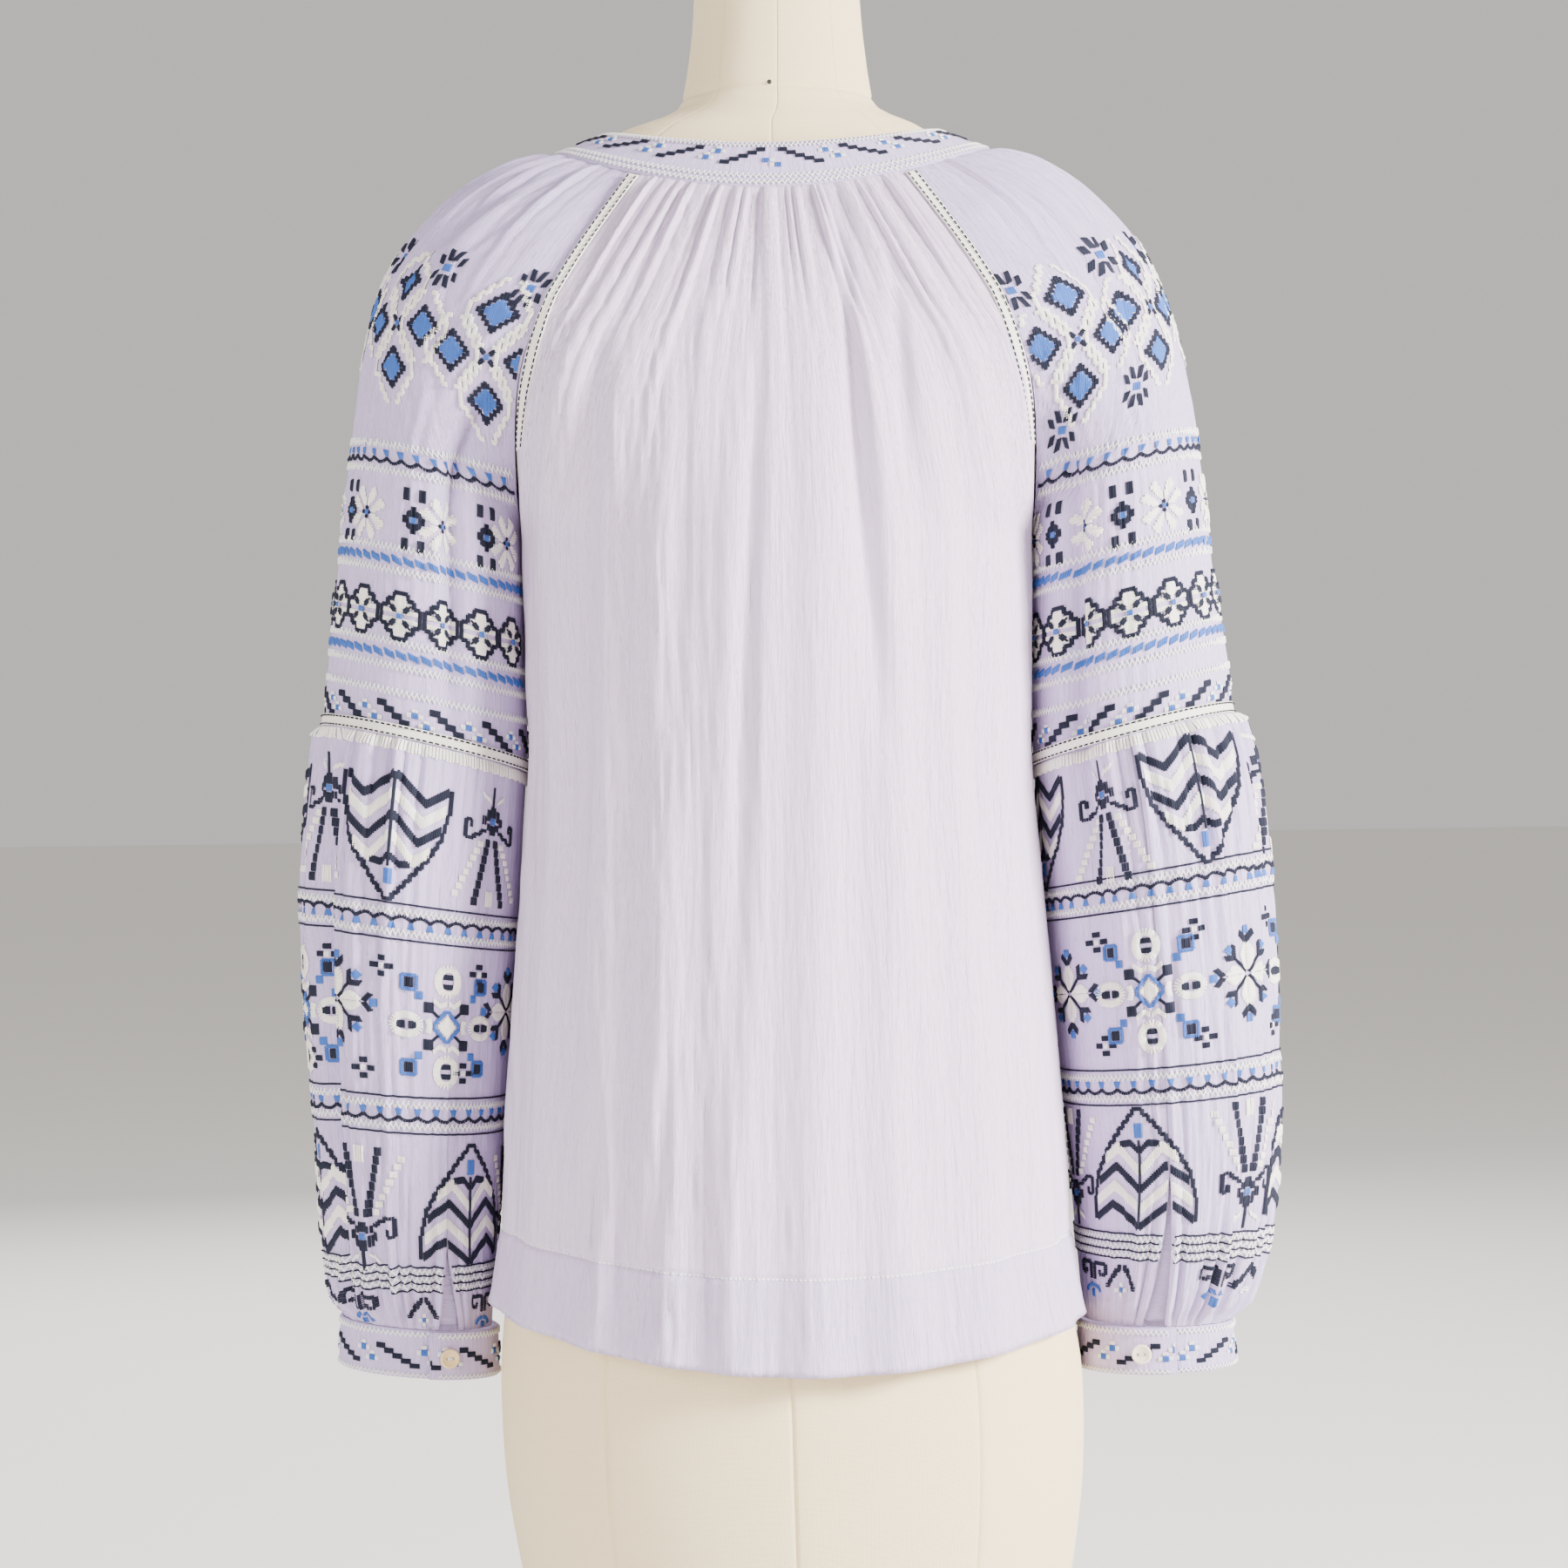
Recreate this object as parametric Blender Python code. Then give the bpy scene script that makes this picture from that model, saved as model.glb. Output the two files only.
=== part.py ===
# Gathered raglan blouse with embroidered sleeves, standing on a limbless dress form.
# The wearer would face -Y, with the back at +Y and the wearer's left at +X.
# Z is 0 under the stand's base. Tables and sizes are in millimetres.

from collections import namedtuple
from math import cos, degrees, exp, pi, radians, sin

import bmesh
import bpy
import numpy as np
from mathutils import Vector

MM = 0.001

# Cloth
WALL = 1.3                # double gauze with its crinkle
BAND_WALL = 2.0           # neckband and cuffs, folded and embroidered
SEAM_GAP = 0.25           # each piece stops this far short of its seam
TAPE_WIDTH = 6.5
TAPE_WALL = 0.9
TAPE_LIFT = 1.8           # tape's middle above the cloth's middle
PLACKET_WALL = 0.9
PLACKET_WIDTH = 14.0
FOLD_LIMIT = 0.6          # a tape folded over a seam is lifted by no more than its lift over this

# Gathers, each drawn by two columns of the panel
BACK_GATHERS = 21
FRONT_GATHERS = 20
CAP_GATHERS = 13
ELBOW_GATHERS = 22
BACK_FOLDS = 10
FRONT_FOLDS = 9
FEATHER_ROWS = 3.0        # rows in which a panel leaves the neckband's curve

SIDES = {1: "left", -1: "right"}   # the wearer's left is at +X

# Cuffs and buttons
CUFF_LAP = 16.0           # degrees by which the cuff's ends pass the slit
CUFF_RISE = 3.3           # from the lap's inner end to its outer end
BUTTON_RADIUS = 5.75
BUTTON_THICK = 2.4
SHANK = 1.0               # thread between button and cuff
SLIT_ANGLE = {1: -119.0, -1: -98.0}
SLIT_TOP = {1: 21, -1: 20}
BUTTON_TURN = {1: 2.0, -1: -8.0}   # degrees from the slit
SLIT_GAP = 5.0            # the slit's width at the cuff

# Rows of the sleeve. Rows 0 to ARMPIT lie between the raglan seams, and those after it are rings.
ARMPIT = 9
ELBOW = 14
CUFF_TOP = 23
CUFF_BOTTOM = 24
ARMPIT_CLEAR = 2.4        # the body's edge stays this far inside the sleeve's at the armpit

Ring = namedtuple("Ring", "z half_width back front tilt dip")
Edge = namedtuple("Edge", "half_width back_y back_z side_z front_y front_z")
Row = namedtuple("Row", "in_x in_y in_z out_x out_y out_z spread skew depth lean right_x right_z")
Centre = namedtuple("Centre", "back_y back_z back_wrap front_y front_z front_wrap")
Level = namedtuple("Level", "z half_width back front shift", defaults=(0,))
Crease = namedtuple("Crease", "side angle width first last depth")

BAND_TOP = Edge(96.5, 62, 992.5, 1007, 90, 925)
BAND_BOTTOM = Edge(125.5, 75, 965, 996, 104, 897)
BACK_SEAM_TURN = 37       # degrees round the neck from the centre back
FRONT_SEAM_TURN = 130

SLEEVE = [
    Row(87.5, -3.5, 966.5, 125.5, -8, 996, 58, 12.4, 74.9, 12.4, 0, 0),
    Row(103, -6, 938.5, 152, -8, 989, 65, 9.9, 83.9, 13.8, -1, 0),
    Row(115.2, -6, 914, 178, -9, 975.5, 73, 7.1, 88.9, 14.6, -3, 0),
    Row(126.5, -5, 891, 199.5, -10, 957, 82, 4.5, 89.4, 14.1, -4, 0),
    Row(135, -4, 872, 215, -11, 938, 92, 2.0, 86.0, 15.0, -5, 0),
    Row(140.5, -4, 853, 225, -11, 918, 103, 0.5, 82.0, 15.4, -5, 0),
    Row(144, -3, 833, 232, -12, 896, 117, 0, 77.4, 16.8, -4, 0),
    Row(146, -3, 812, 237.5, -12, 871, 134, 0, 73.7, 16.7, -3, 0),
    Row(146.7, -3, 791, 241.5, -12, 845, 155, 0, 71.0, 16.0, -2, 0),
    Row(146.4, -3, 775, 245, -12, 819, 180, 0, 69.0, 14.0, -2, 0),
    Row(146.2, -4, 745, 249, -12, 790, 180, 0, 67.0, 12.0, -2, 0),
    Row(146, -5, 715, 253, -12, 757, 180, 0, 65.0, 10.0, -3, 0),
    Row(145.6, -6, 685, 258, -12, 718, 180, 0, 63.0, 8.0, -2, 0),
    Row(145.6, -7, 665, 260.5, -12, 693, 180, 0, 62.0, 6.0, -1, 0),
    Row(146.2, -8, 647, 261.5, -12, 675, 180, 0, 61.0, 5.0, -2, 0),
    Row(147.5, -9, 631, 264.5, -13, 659, 180, 0, 63.0, 4.0, 1, 0),
    Row(149.5, -10, 603, 269, -13, 629, 180, 0, 66.0, 3.0, 4, 0),
    Row(152, -11, 565, 274, -14, 585, 180, 0, 67.0, 2.0, 5, 0),
    Row(156, -12, 515, 275, -15, 530, 180, 0, 67.0, 1.0, 8, 0),
    Row(160, -13, 465, 272, -16, 475, 180, 0, 66.0, 0, 12, 0),
    Row(164, -14, 415, 268.5, -17, 424, 180, 0, 63.0, 0, 15, -3),
    Row(167, -15, 378, 265, -18, 384, 180, 0, 57.0, 0, 12, -6),
    Row(169.3, -16, 350, 260.5, -18, 358, 180, 0, 48.0, 0, 7, -8),
    Row(171.2, -17, 325, 256.5, -18, 333, 180, 0, 38.0, 0, 0, -9),
    Row(170.8, -17, 297, 257.5, -18, 305, 180, 0, 37.0, 0, 0, -7),
]

CENTRE = [
    Centre(75, 965, 37, 104, 897, 50),
    Centre(84, 942, 43, 108, 880, 54),
    Centre(91, 921, 50, 111, 864, 58),
    Centre(97, 900, 57, 113, 850, 62),
    Centre(101, 883, 63, 115, 836, 67),
    Centre(105, 865, 69, 116, 823, 72),
    Centre(108, 846, 75, 117, 810, 77),
    Centre(110, 823, 80, 118, 797, 82),
    Centre(111, 798, 86, 119, 785, 87),
    Centre(112, 775, 90, 120, 775, 90),
]

BODY = [
    Ring(775, 144.0, 112, 120, 0, 0),
    Ring(735, 143.5, 112, 128, 0, 0),
    Ring(695, 142.8, 112, 134, 0, 0),
    Ring(655, 141.6, 112, 134, 0, 0),
    Ring(615, 144, 113, 130, 0, 0),
    Ring(575, 147.5, 116, 127, 0, 0),
    Ring(530, 151, 120, 126, 1, 1),
    Ring(480, 154.6, 126, 125, 2, 3),
    Ring(430, 158, 130, 124, 3, 5),
    Ring(387, 160, 133, 123, 3.5, 11),
    Ring(355, 164.2, 135, 122, 5, 17),
    Ring(337.5, 168, 136, 121, 5.5, 19.5),
]

# Long troughs of the sleeves, round the ring in degrees from its outer side, the back being negative
CREASES = [
    Crease(1, -42, 9, 14.6, 20.5, 9),
    Crease(1, -104, 10, 5.0, 13.6, 6),
    Crease(1, 75, 10, 14.6, 19.5, 7),
    Crease(-1, -128, 9, 5.5, 18.0, 6),
    Crease(-1, -60, 8, 1.5, 6.5, 4),
    Crease(-1, 50, 10, 15.0, 20.5, 7),
]

FORM = [
    Level(140, 148, 104, 98, -4),
    Level(185, 157, 112, 104, -4),
    Level(240, 165, 119, 109, -3),
    Level(295, 166.5, 121, 111, -2),
    Level(335, 162.5, 120, 111, -0.5),
    Level(370, 157.5, 117, 109),
    Level(410, 152, 113, 107),
    Level(470, 145, 104, 104),
    Level(550, 125, 92, 98),
    Level(620, 115, 86, 96),
    Level(680, 126, 94, 110),
    Level(730, 136, 101, 119),
    Level(770, 138.5, 104, 112),
    Level(800, 146, 102, 109),
    Level(825, 157, 99, 105),
    Level(860, 171, 94, 99),
    Level(900, 176, 87, 91),
    Level(940, 174, 76, 76),
    Level(960, 164, 68, 66),
    Level(975, 145, 61, 57),
    Level(992.9, 117, 56, 50),
    Level(1007, 91, 52.5, 46),
    Level(1012, 80, 50, 46, -2),
    Level(1018, 64, 49, 46, -3.5),
    Level(1027, 55, 48, 46, -3.5),
    Level(1060, 49.5, 46, 45, -4),
    Level(1085, 47.5, 45, 44, -4),
]
FORM_SEGMENTS = 28
CAP_HEIGHT = 14.0
BOARD_THICK = 12.0
POLE_RADIUS = 17.0
BASE_RADIUS = 170.0
BASE_THICK = 20.0
PART_GAP = 0.3


def clear_scene():
    for item in list(bpy.data.objects):
        bpy.data.objects.remove(item, do_unlink=True)


def material(name, color, roughness, metallic=0.0):
    made = bpy.data.materials.new(name)
    made.use_nodes = True
    shader = made.node_tree.nodes["Principled BSDF"]
    shader.inputs["Base Color"].default_value = (*color, 1.0)
    shader.inputs["Roughness"].default_value = roughness
    shader.inputs["Metallic"].default_value = metallic
    return made


def place_object(name, bm, look, sharp=50):
    """Turn a closed bmesh in millimetres into a named object in metres."""
    bmesh.ops.scale(bm, vec=(MM, MM, MM), verts=bm.verts)
    bmesh.ops.recalc_face_normals(bm, faces=bm.faces)
    mesh = bpy.data.meshes.new(name)
    bm.to_mesh(mesh)
    bm.free()
    mesh.shade_smooth()
    mesh.set_sharp_from_angle(angle=radians(sharp))
    mesh.materials.append(look)
    made = bpy.data.objects.new(name, mesh)
    bpy.context.collection.objects.link(made)
    return made


def along(table, place):
    """Row of a table at a place between its rows, on a smooth curve through them."""
    index = min(max(int(place), 0), len(table) - 2)
    f = place - index
    near = [table[min(max(index + k, 0), len(table) - 1)] for k in (-1, 0, 1, 2)]
    return type(near[0])(*(
        q + 0.5 * f * (r - p + f * (2 * p - 5 * q + 4 * r - s + f * (3 * (q - r) + s - p)))
        for p, q, r, s in zip(*near)))


def neck_edge(edge, turn):
    """Point of a neckband edge, turned in degrees from the centre back to the wearer's left."""
    theta = radians(turn)
    y, z = (edge.back_y, edge.back_z) if cos(theta) > 0 else (-edge.front_y, edge.front_z)
    height = edge.side_z + (z - edge.side_z) * cos(theta) ** 2
    return Vector((edge.half_width * sin(theta), y * abs(cos(theta)), height))


def met_band(shape, s, v, turn):
    """The shape's point, drawn onto the neckband's lower edge in its first rows."""
    if v >= FEATHER_ROWS:
        return shape(s, v)
    share = (1 - v / FEATHER_ROWS) ** 2
    return shape(s, v) + (neck_edge(BAND_BOTTOM, turn) - shape(s, 0)) * share


def sleeve_base(side, s, v):
    """Sleeve without gathers. s runs from the back seam (-1) over the outer side to the front (1)."""
    def shape(s, v):
        row = along(SLEEVE, v)
        right = side < 0
        outer = Vector((row.out_x + right * row.right_x, row.out_y, row.out_z + right * row.right_z))
        inner = Vector((row.in_x, row.in_y, row.in_z))
        forward = Vector((row.skew, -row.depth, -row.lean))
        spread = radians(min(row.spread, 180))
        reach = (outer - inner) / (1 - cos(spread))
        turn = spread * s
        return outer + reach * (cos(turn) - 1) + forward * sin(turn)

    neck_turn = BACK_SEAM_TURN + (FRONT_SEAM_TURN - BACK_SEAM_TURN) * (s + 1) / 2
    point = met_band(shape, s, v, neck_turn)
    return Vector((point.x * side, point.y, point.z))


def torso_base(face, s, v):
    """Body panel without gathers. face is 1 for the back, -1 for the front, s goes towards +X."""
    def shape(s, v):
        if v > ARMPIT:
            ring = along(BODY, v - ARMPIT)
            phi = s * pi / 2
            depth = ring.back if face > 0 else -ring.front
            side_y = SLEEVE[ARMPIT].in_y
            return Vector((ring.half_width * sin(phi),
                           side_y + (depth - side_y) * cos(phi),
                           ring.z + ring.tilt * sin(phi) - ring.dip * cos(phi) ** 2))
        row = along(CENTRE, v)
        y, z, wrap = (row.back_y, row.back_z, row.back_wrap)
        if face < 0:
            y, z, wrap = (-row.front_y, row.front_z, row.front_wrap)
        edge = sleeve_base(1, -face, v)
        edge.x -= ARMPIT_CLEAR * (max(v, 0) / ARMPIT) ** 3
        wrap = radians(wrap)
        rise = (cos(wrap * s) - cos(wrap)) / (1 - cos(wrap))
        return Vector((edge.x * sin(wrap * s) / sin(wrap),
                       edge.y + (y - edge.y) * rise,
                       edge.z + (z - edge.z) * rise))

    neck_turn = BACK_SEAM_TURN * s if face > 0 else 180 - (180 - FRONT_SEAM_TURN) * s
    return met_band(shape, s, v, neck_turn)


def outward(base, s, v, sign):
    """Direction out of a surface, from two small steps along it."""
    step = 0.01
    across = base(s + step, v) - base(s - step, v)
    down = base(s, v + step) - base(s, v - step)
    return (across.cross(down) * sign).normalized()


def waves(count, s, uneven=0.3):
    """Height of one gather in a row of them, 0 in its valleys and up to 1 on its ridges."""
    place = count * (s + 1) / 2
    share = 1 - uneven + uneven * sin(2.4 * int(place) + 1)
    return share * (1 - cos(2 * pi * place)) / 2


def near_edges(s, flat, width):
    """0 in the flat strip along a panel's edges, rising to 1 over the width inside it."""
    return min(1.0, max(0.0, (1 - abs(s) - flat) / width))


def torso(face, s, v):
    """Point and outward direction of a gathered body panel."""
    base = lambda a, b: torso_base(face, a, b)
    normal = outward(base, s, v, face)
    gathers, folds = (BACK_GATHERS, BACK_FOLDS) if face > 0 else (FRONT_GATHERS, FRONT_FOLDS)
    fine = np.interp(v, (0, 1, 3, 6, 10, 20), (0.8, 2.8, 2.4, 1.5, 0.8, 0.4))
    broad = np.interp(v, (1, 4, 9, 14, 20), (0.0, 2.0, 4.0, 5.0, 6.5))
    height = (fine * waves(gathers, s) + broad * waves(folds, s, 0.4)) * near_edges(s, 0.11, 0.1)
    return base(s, v) + normal * float(height), normal


def crease_depth(side, turn, v):
    """Depth of the sleeve's long troughs at one place."""
    depth = 0.0
    for crease in CREASES:
        if crease.side == side and crease.first < v < crease.last:
            length = sin(pi * (v - crease.first) / (crease.last - crease.first)) ** 0.6
            depth += crease.depth * length * exp(-((turn - crease.angle) / crease.width) ** 2)
    return depth


def sleeve(side, s, v, gathers, s_gather):
    """Point and outward direction of a gathered sleeve."""
    base = lambda a, b: sleeve_base(side, a, b)
    normal = outward(base, s, v, side)
    turn = along(SLEEVE, v).spread * s
    if v < ELBOW:
        fine = np.interp(v, (0, 1, 3, 6, 10, 13), (0.8, 3.2, 3.0, 1.8, 0.8, 0.0))
        free = near_edges(s, 0.08, 0.12)
    else:
        fine = np.interp(v, (14, 14.25, 15, 17, 20, 22, 23), (0.0, 0.3, 3.6, 2.0, 2.0, 3.6, 0.8))
        free = min(1.0, 0.9 * (1 + cos(radians(turn))))
    height = fine * waves(gathers, s_gather) * free - crease_depth(side, turn, v)
    return base(s, v) + normal * float(height), normal


def slab(columns, rows, is_closed=lambda row: False):
    """Flat closed slab. X runs across and Y down, both from the slab's centre; Z is 0 or -1.
    The ends of closed rows are left open, to be joined into a tube."""
    bm = bmesh.new()
    bmesh.ops.create_grid(bm, x_segments=columns, y_segments=rows, size=1)
    made = bmesh.ops.extrude_face_region(bm, geom=bm.faces[:], use_keep_orig=True)
    fresh = [item for item in made["geom"] if isinstance(item, bmesh.types.BMVert)]
    bmesh.ops.translate(bm, vec=(0, 0, -1), verts=fresh)
    ends = []
    for face in bm.faces:
        middle = face.calc_center_median()
        row = int((1 - middle.y) / 2 * rows)
        if abs(middle.x) > 0.999 and is_closed(row):
            ends.append(face)
    bmesh.ops.delete(bm, geom=ends, context="FACES")
    return bm


def wrap_slab(bm, columns, rows, wall, surface):
    """Lay the slab on a surface that gives a point and a direction for each column and row."""
    for vert in bm.verts:
        column = round((vert.co.x + 1) / 2 * columns)
        row = round((1 - vert.co.y) / 2 * rows)
        point, normal = surface(column, row)
        vert.co = point + normal * ((vert.co.z + 0.5) * wall)
    bmesh.ops.remove_doubles(bm, verts=bm.verts, dist=0.001)


def seam_direction(face, side, v, own=None):
    """Direction out of the raglan seam, shared by the two pieces sewn there.
    Towards the armpit, where they face each other, each piece keeps more of its own."""
    body = outward(lambda a, b: torso_base(face, a, b), side, v, face)
    arm = outward(lambda a, b: sleeve_base(side, a, b), -face, v, side)
    shared = (body + arm).normalized()
    if own is None:
        return shared
    return shared.lerp(own, float(np.interp(v, (5, 8), (0, 1)))).normalized()


def body_panel(face, look):
    """Front or back, from the neckband to the hem."""
    columns = 2 * (BACK_GATHERS if face > 0 else FRONT_GATHERS)
    places = [0.03, 1, 2, 3, 4, 5, 6, 7, 8, 9, 10.5, 12, 13.5, 15, 17, 19, 20]
    rows = len(places) - 1

    def surface(column, row):
        s = 2 * column / columns - 1
        v = places[row]
        point, normal = torso(face, s, v)
        if abs(s) == 1:
            inner = torso_base(face, s * 0.99, v)
            point += (inner - point).normalized() * SEAM_GAP
            if v < ARMPIT:
                normal = seam_direction(face, s, v, normal)
        return point, normal

    bm = slab(columns, rows)
    wrap_slab(bm, columns, rows, WALL, surface)
    name = "back_panel" if face > 0 else "front_panel"
    return place_object(name, bm, look)


def upper_sleeve(side, look):
    """Raglan sleeve from the neckband to the elbow tape, a tube below the armpit."""
    columns = 2 * CAP_GATHERS
    places = [0.03, 1, 2, 3, 4, 5, 6, 7, 8, 9, 10.5, 12, 13.97]
    rows = len(places) - 1

    def surface(column, row):
        s = 2 * column / columns - 1
        v = places[row]
        if v >= ARMPIT and s == -1:
            s = 1             # a ring's two ends are one place
        point, normal = sleeve(side, s, v, CAP_GATHERS, s)
        if abs(s) == 1 and v < ARMPIT:
            inner = sleeve_base(side, s * 0.99, v)
            point += (inner - point).normalized() * SEAM_GAP
            normal = seam_direction(-s, side, v, normal)
        return point, normal

    bm = slab(columns, rows, lambda row: places[row] >= ARMPIT)
    wrap_slab(bm, columns, rows, WALL, surface)
    return place_object("sleeve_upper_" + SIDES[side], bm, look)


def slit_opening(side, v):
    """Half of the slit's width at a row."""
    return SLIT_GAP / 2 * max(0.0, (v - SLIT_TOP[side]) / (CUFF_TOP - SLIT_TOP[side]))


def lower_sleeve(side, look):
    """Full lower sleeve from the elbow tape to the cuff, slit at the back."""
    columns = 2 * ELBOW_GATHERS
    places = [14.03, 14.25, 15, 16, 17.5, 19, SLIT_TOP[side], 22, 22.995]
    rows = len(places) - 1

    def surface(column, row):
        s_gather = 2 * column / columns - 1
        v = places[row]
        turn = SLIT_ANGLE[side] + 180 * (s_gather + 1)
        s = ((turn + 180) % 360 - 180) / 180
        point, normal = sleeve(side, s, v, ELBOW_GATHERS, s_gather)
        if abs(s_gather) == 1:
            aside = sleeve_base(side, s - 0.01 * s_gather, v) - sleeve_base(side, s, v)
            point += aside.normalized() * slit_opening(side, v)
        return point, normal

    bm = slab(columns, rows, lambda row: places[row + 1] <= SLIT_TOP[side])
    wrap_slab(bm, columns, rows, WALL, surface)
    return place_object("sleeve_lower_" + SIDES[side], bm, look)


def ring_point(side, turn, v, lift):
    """Point on the sleeve's ring at an angle, moved out, with its direction."""
    s = ((turn + 180) % 360 - 180) / 180
    base = lambda a, b: sleeve_base(side, a, b)
    normal = outward(base, s, v, side)
    return base(s, v) + normal * lift, normal


def cuff(side, look):
    """Narrow cuff whose outer end laps over its inner end at the slit."""
    columns = 28
    span = 360 + 2 * CUFF_LAP

    def surface(column, row):
        share = column / columns
        turn = SLIT_ANGLE[side] - CUFF_LAP + span * share
        v = CUFF_TOP + 0.005 if row == 0 else CUFF_BOTTOM
        return ring_point(side, turn, v, CUFF_RISE * share)

    bm = slab(columns, 1)
    wrap_slab(bm, columns, 1, BAND_WALL, surface)
    return place_object("cuff_" + SIDES[side], bm, look)


def placket(side, look):
    """Underlap behind the slit."""
    places = [SLIT_TOP[side] + 0.03, 22, 22.9]

    def surface(column, row):
        v = places[row]
        degrees_across = degrees(PLACKET_WIDTH / along(SLEEVE, v).depth)
        turn = SLIT_ANGLE[side] + degrees_across * (column / 2 - 0.5)
        return ring_point(side, turn, v, -(WALL / 2 + 2 * PART_GAP + PLACKET_WALL / 2))

    bm = slab(2, 2)
    wrap_slab(bm, 2, 2, PLACKET_WALL, surface)
    return place_object("slit_placket_" + SIDES[side], bm, look)


def neckband(look):
    """One band round the neck."""
    columns = 44

    def surface(column, row):
        turn = 360 * column / columns - 180
        edge = neck_edge(BAND_TOP if row == 0 else BAND_BOTTOM, turn)
        down = neck_edge(BAND_BOTTOM, turn) - neck_edge(BAND_TOP, turn)
        ahead = neck_edge(BAND_TOP, turn + 1) - neck_edge(BAND_TOP, turn - 1)
        return edge, ahead.cross(down).normalized()

    bm = slab(columns, 1, lambda row: True)
    wrap_slab(bm, columns, 1, BAND_WALL, surface)
    return place_object("neckband", bm, look)


def raglan_tape(face, side, look):
    """Tape over the raglan seam. Near the armpit it moves off the seam, onto the body panel."""
    places = [0.1, 1, 2, 3, 4, 5, 6, 7]
    rows = len(places) - 1

    def surface(column, row):
        v = places[row]
        start = float(np.interp(v, (3, 4, 5, 7), (-TAPE_WIDTH / 2, 1.0, 3.0, 4.8)))
        across = start + TAPE_WIDTH * column / 2
        if 0 < column < 2 and start < 0:
            across = 0.0
        if across < 0:
            base = lambda a, b: sleeve_base(side, a, b)
            edge, sign = -face, side
        else:
            base = lambda a, b: torso_base(face, a, b)
            edge, sign = side, face
        step = 0.02
        speed = (base(edge, v) - base(edge * (1 - step), v)).length / step
        s = edge * (1 - abs(across) / speed)
        normal = outward(base, s, v, sign)
        lift = TAPE_LIFT
        if across == 0:
            shared = seam_direction(face, side, v)
            lift /= max(FOLD_LIMIT, shared.dot(normal))
            normal = shared
        return base(s, v) + normal * lift, normal

    bm = slab(2, rows)
    wrap_slab(bm, 2, rows, TAPE_WALL, surface)
    name = "raglan_tape_" + ("back_" if face > 0 else "front_") + SIDES[side]
    return place_object(name, bm, look)


def elbow_tape(side, look):
    """Tape round the sleeve over the elbow seam."""
    columns = 32
    row_length = 16.0
    half = TAPE_WIDTH / 2 / row_length

    def surface(column, row):
        turn = 360 * column / columns - 180
        return ring_point(side, turn, ELBOW + half * (2 * row - 1), TAPE_LIFT)

    bm = slab(columns, 1, lambda row: True)
    wrap_slab(bm, columns, 1, TAPE_WALL, surface)
    return place_object("elbow_tape_" + SIDES[side], bm, look)


def button(side, look):
    """Round button with a dished face, lying on the cuff's lap."""
    lift = CUFF_RISE + BAND_WALL / 2 + SHANK
    middle = (CUFF_TOP + CUFF_BOTTOM) / 2
    point, normal = ring_point(side, SLIT_ANGLE[side] + BUTTON_TURN[side], middle, lift)
    bm = bmesh.new()
    # From the middle of the back over the rim to the dished face, as shares of radius and thickness
    profile = [(0, 0), (0.7, 0), (1, 0.45), (0.93, 1), (0.7, 0.92), (0.6, 0.7), (0, 0.7)]
    verts = [bm.verts.new((r * BUTTON_RADIUS, 0, h * BUTTON_THICK)) for r, h in profile]
    edges = [bm.edges.new(pair) for pair in zip(verts, verts[1:])]
    bmesh.ops.spin(bm, geom=verts + edges, axis=(0, 0, 1), cent=(0, 0, 0),
                   angle=2 * pi, steps=16, use_merge=True, use_duplicate=False)
    bmesh.ops.remove_doubles(bm, verts=bm.verts, dist=0.001)
    turned = normal.to_track_quat("Z", "Y").to_matrix()
    bmesh.ops.rotate(bm, matrix=turned, verts=bm.verts)
    bmesh.ops.translate(bm, vec=point, verts=bm.verts)
    return place_object("cuff_button_" + SIDES[side], bm, look)


def stacked(levels, segments):
    """Closed body through oval sections at several heights."""
    bm = bmesh.new()
    loops = []
    for level in levels:
        made = bmesh.ops.create_circle(bm, segments=segments, radius=1)
        for vert in made["verts"]:
            depth = level.back if vert.co.y > 0 else level.front
            vert.co = Vector((vert.co.x * level.half_width + level.shift, vert.co.y * depth, level.z))
        loops.append(list({edge for vert in made["verts"] for edge in vert.link_edges}))
    for lower, upper in zip(loops, loops[1:]):
        bmesh.ops.bridge_loops(bm, edges=lower + upper)
    bmesh.ops.holes_fill(bm, edges=bm.edges)
    return bm


def dress_form(look, cap_look, board_look):
    """Torso covered in linen, a cap on its neck and a board under it."""
    place_object("dress_form", stacked(FORM, FORM_SEGMENTS), look)
    top = FORM[-1]
    start = top.z + PART_GAP
    heights = ((0, 0), (CAP_HEIGHT * 0.6, 1), (CAP_HEIGHT, 8))
    cap = [Level(start + up, top.half_width - inset, top.back - inset, top.front - inset, top.shift)
           for up, inset in heights]
    place_object("neck_cap", stacked(cap, FORM_SEGMENTS), cap_look)
    low = FORM[0]
    finish = low.z - PART_GAP
    board = [Level(finish - down, low.half_width - inset, low.back - inset, low.front - inset, low.shift)
             for down, inset in ((BOARD_THICK, 3), (0, 1))]
    place_object("bottom_board", stacked(board, FORM_SEGMENTS), board_look)


def stand(look):
    """Pole between the board and a round base."""
    top = FORM[0].z - BOARD_THICK - 2 * PART_GAP
    start = BASE_THICK + PART_GAP
    radius = POLE_RADIUS
    pole = [Level(start, radius, radius, radius), Level(top, radius, radius, radius)]
    place_object("stand_pole", stacked(pole, 24), look)
    wide = BASE_RADIUS
    base = [Level(0, wide - 2, wide - 2, wide - 2), Level(3, wide, wide, wide),
            Level(BASE_THICK - 8, wide - 1, wide - 1, wide - 1),
            Level(BASE_THICK, wide - 14, wide - 14, wide - 14)]
    place_object("stand_base", stacked(base, 40), look)


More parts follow.
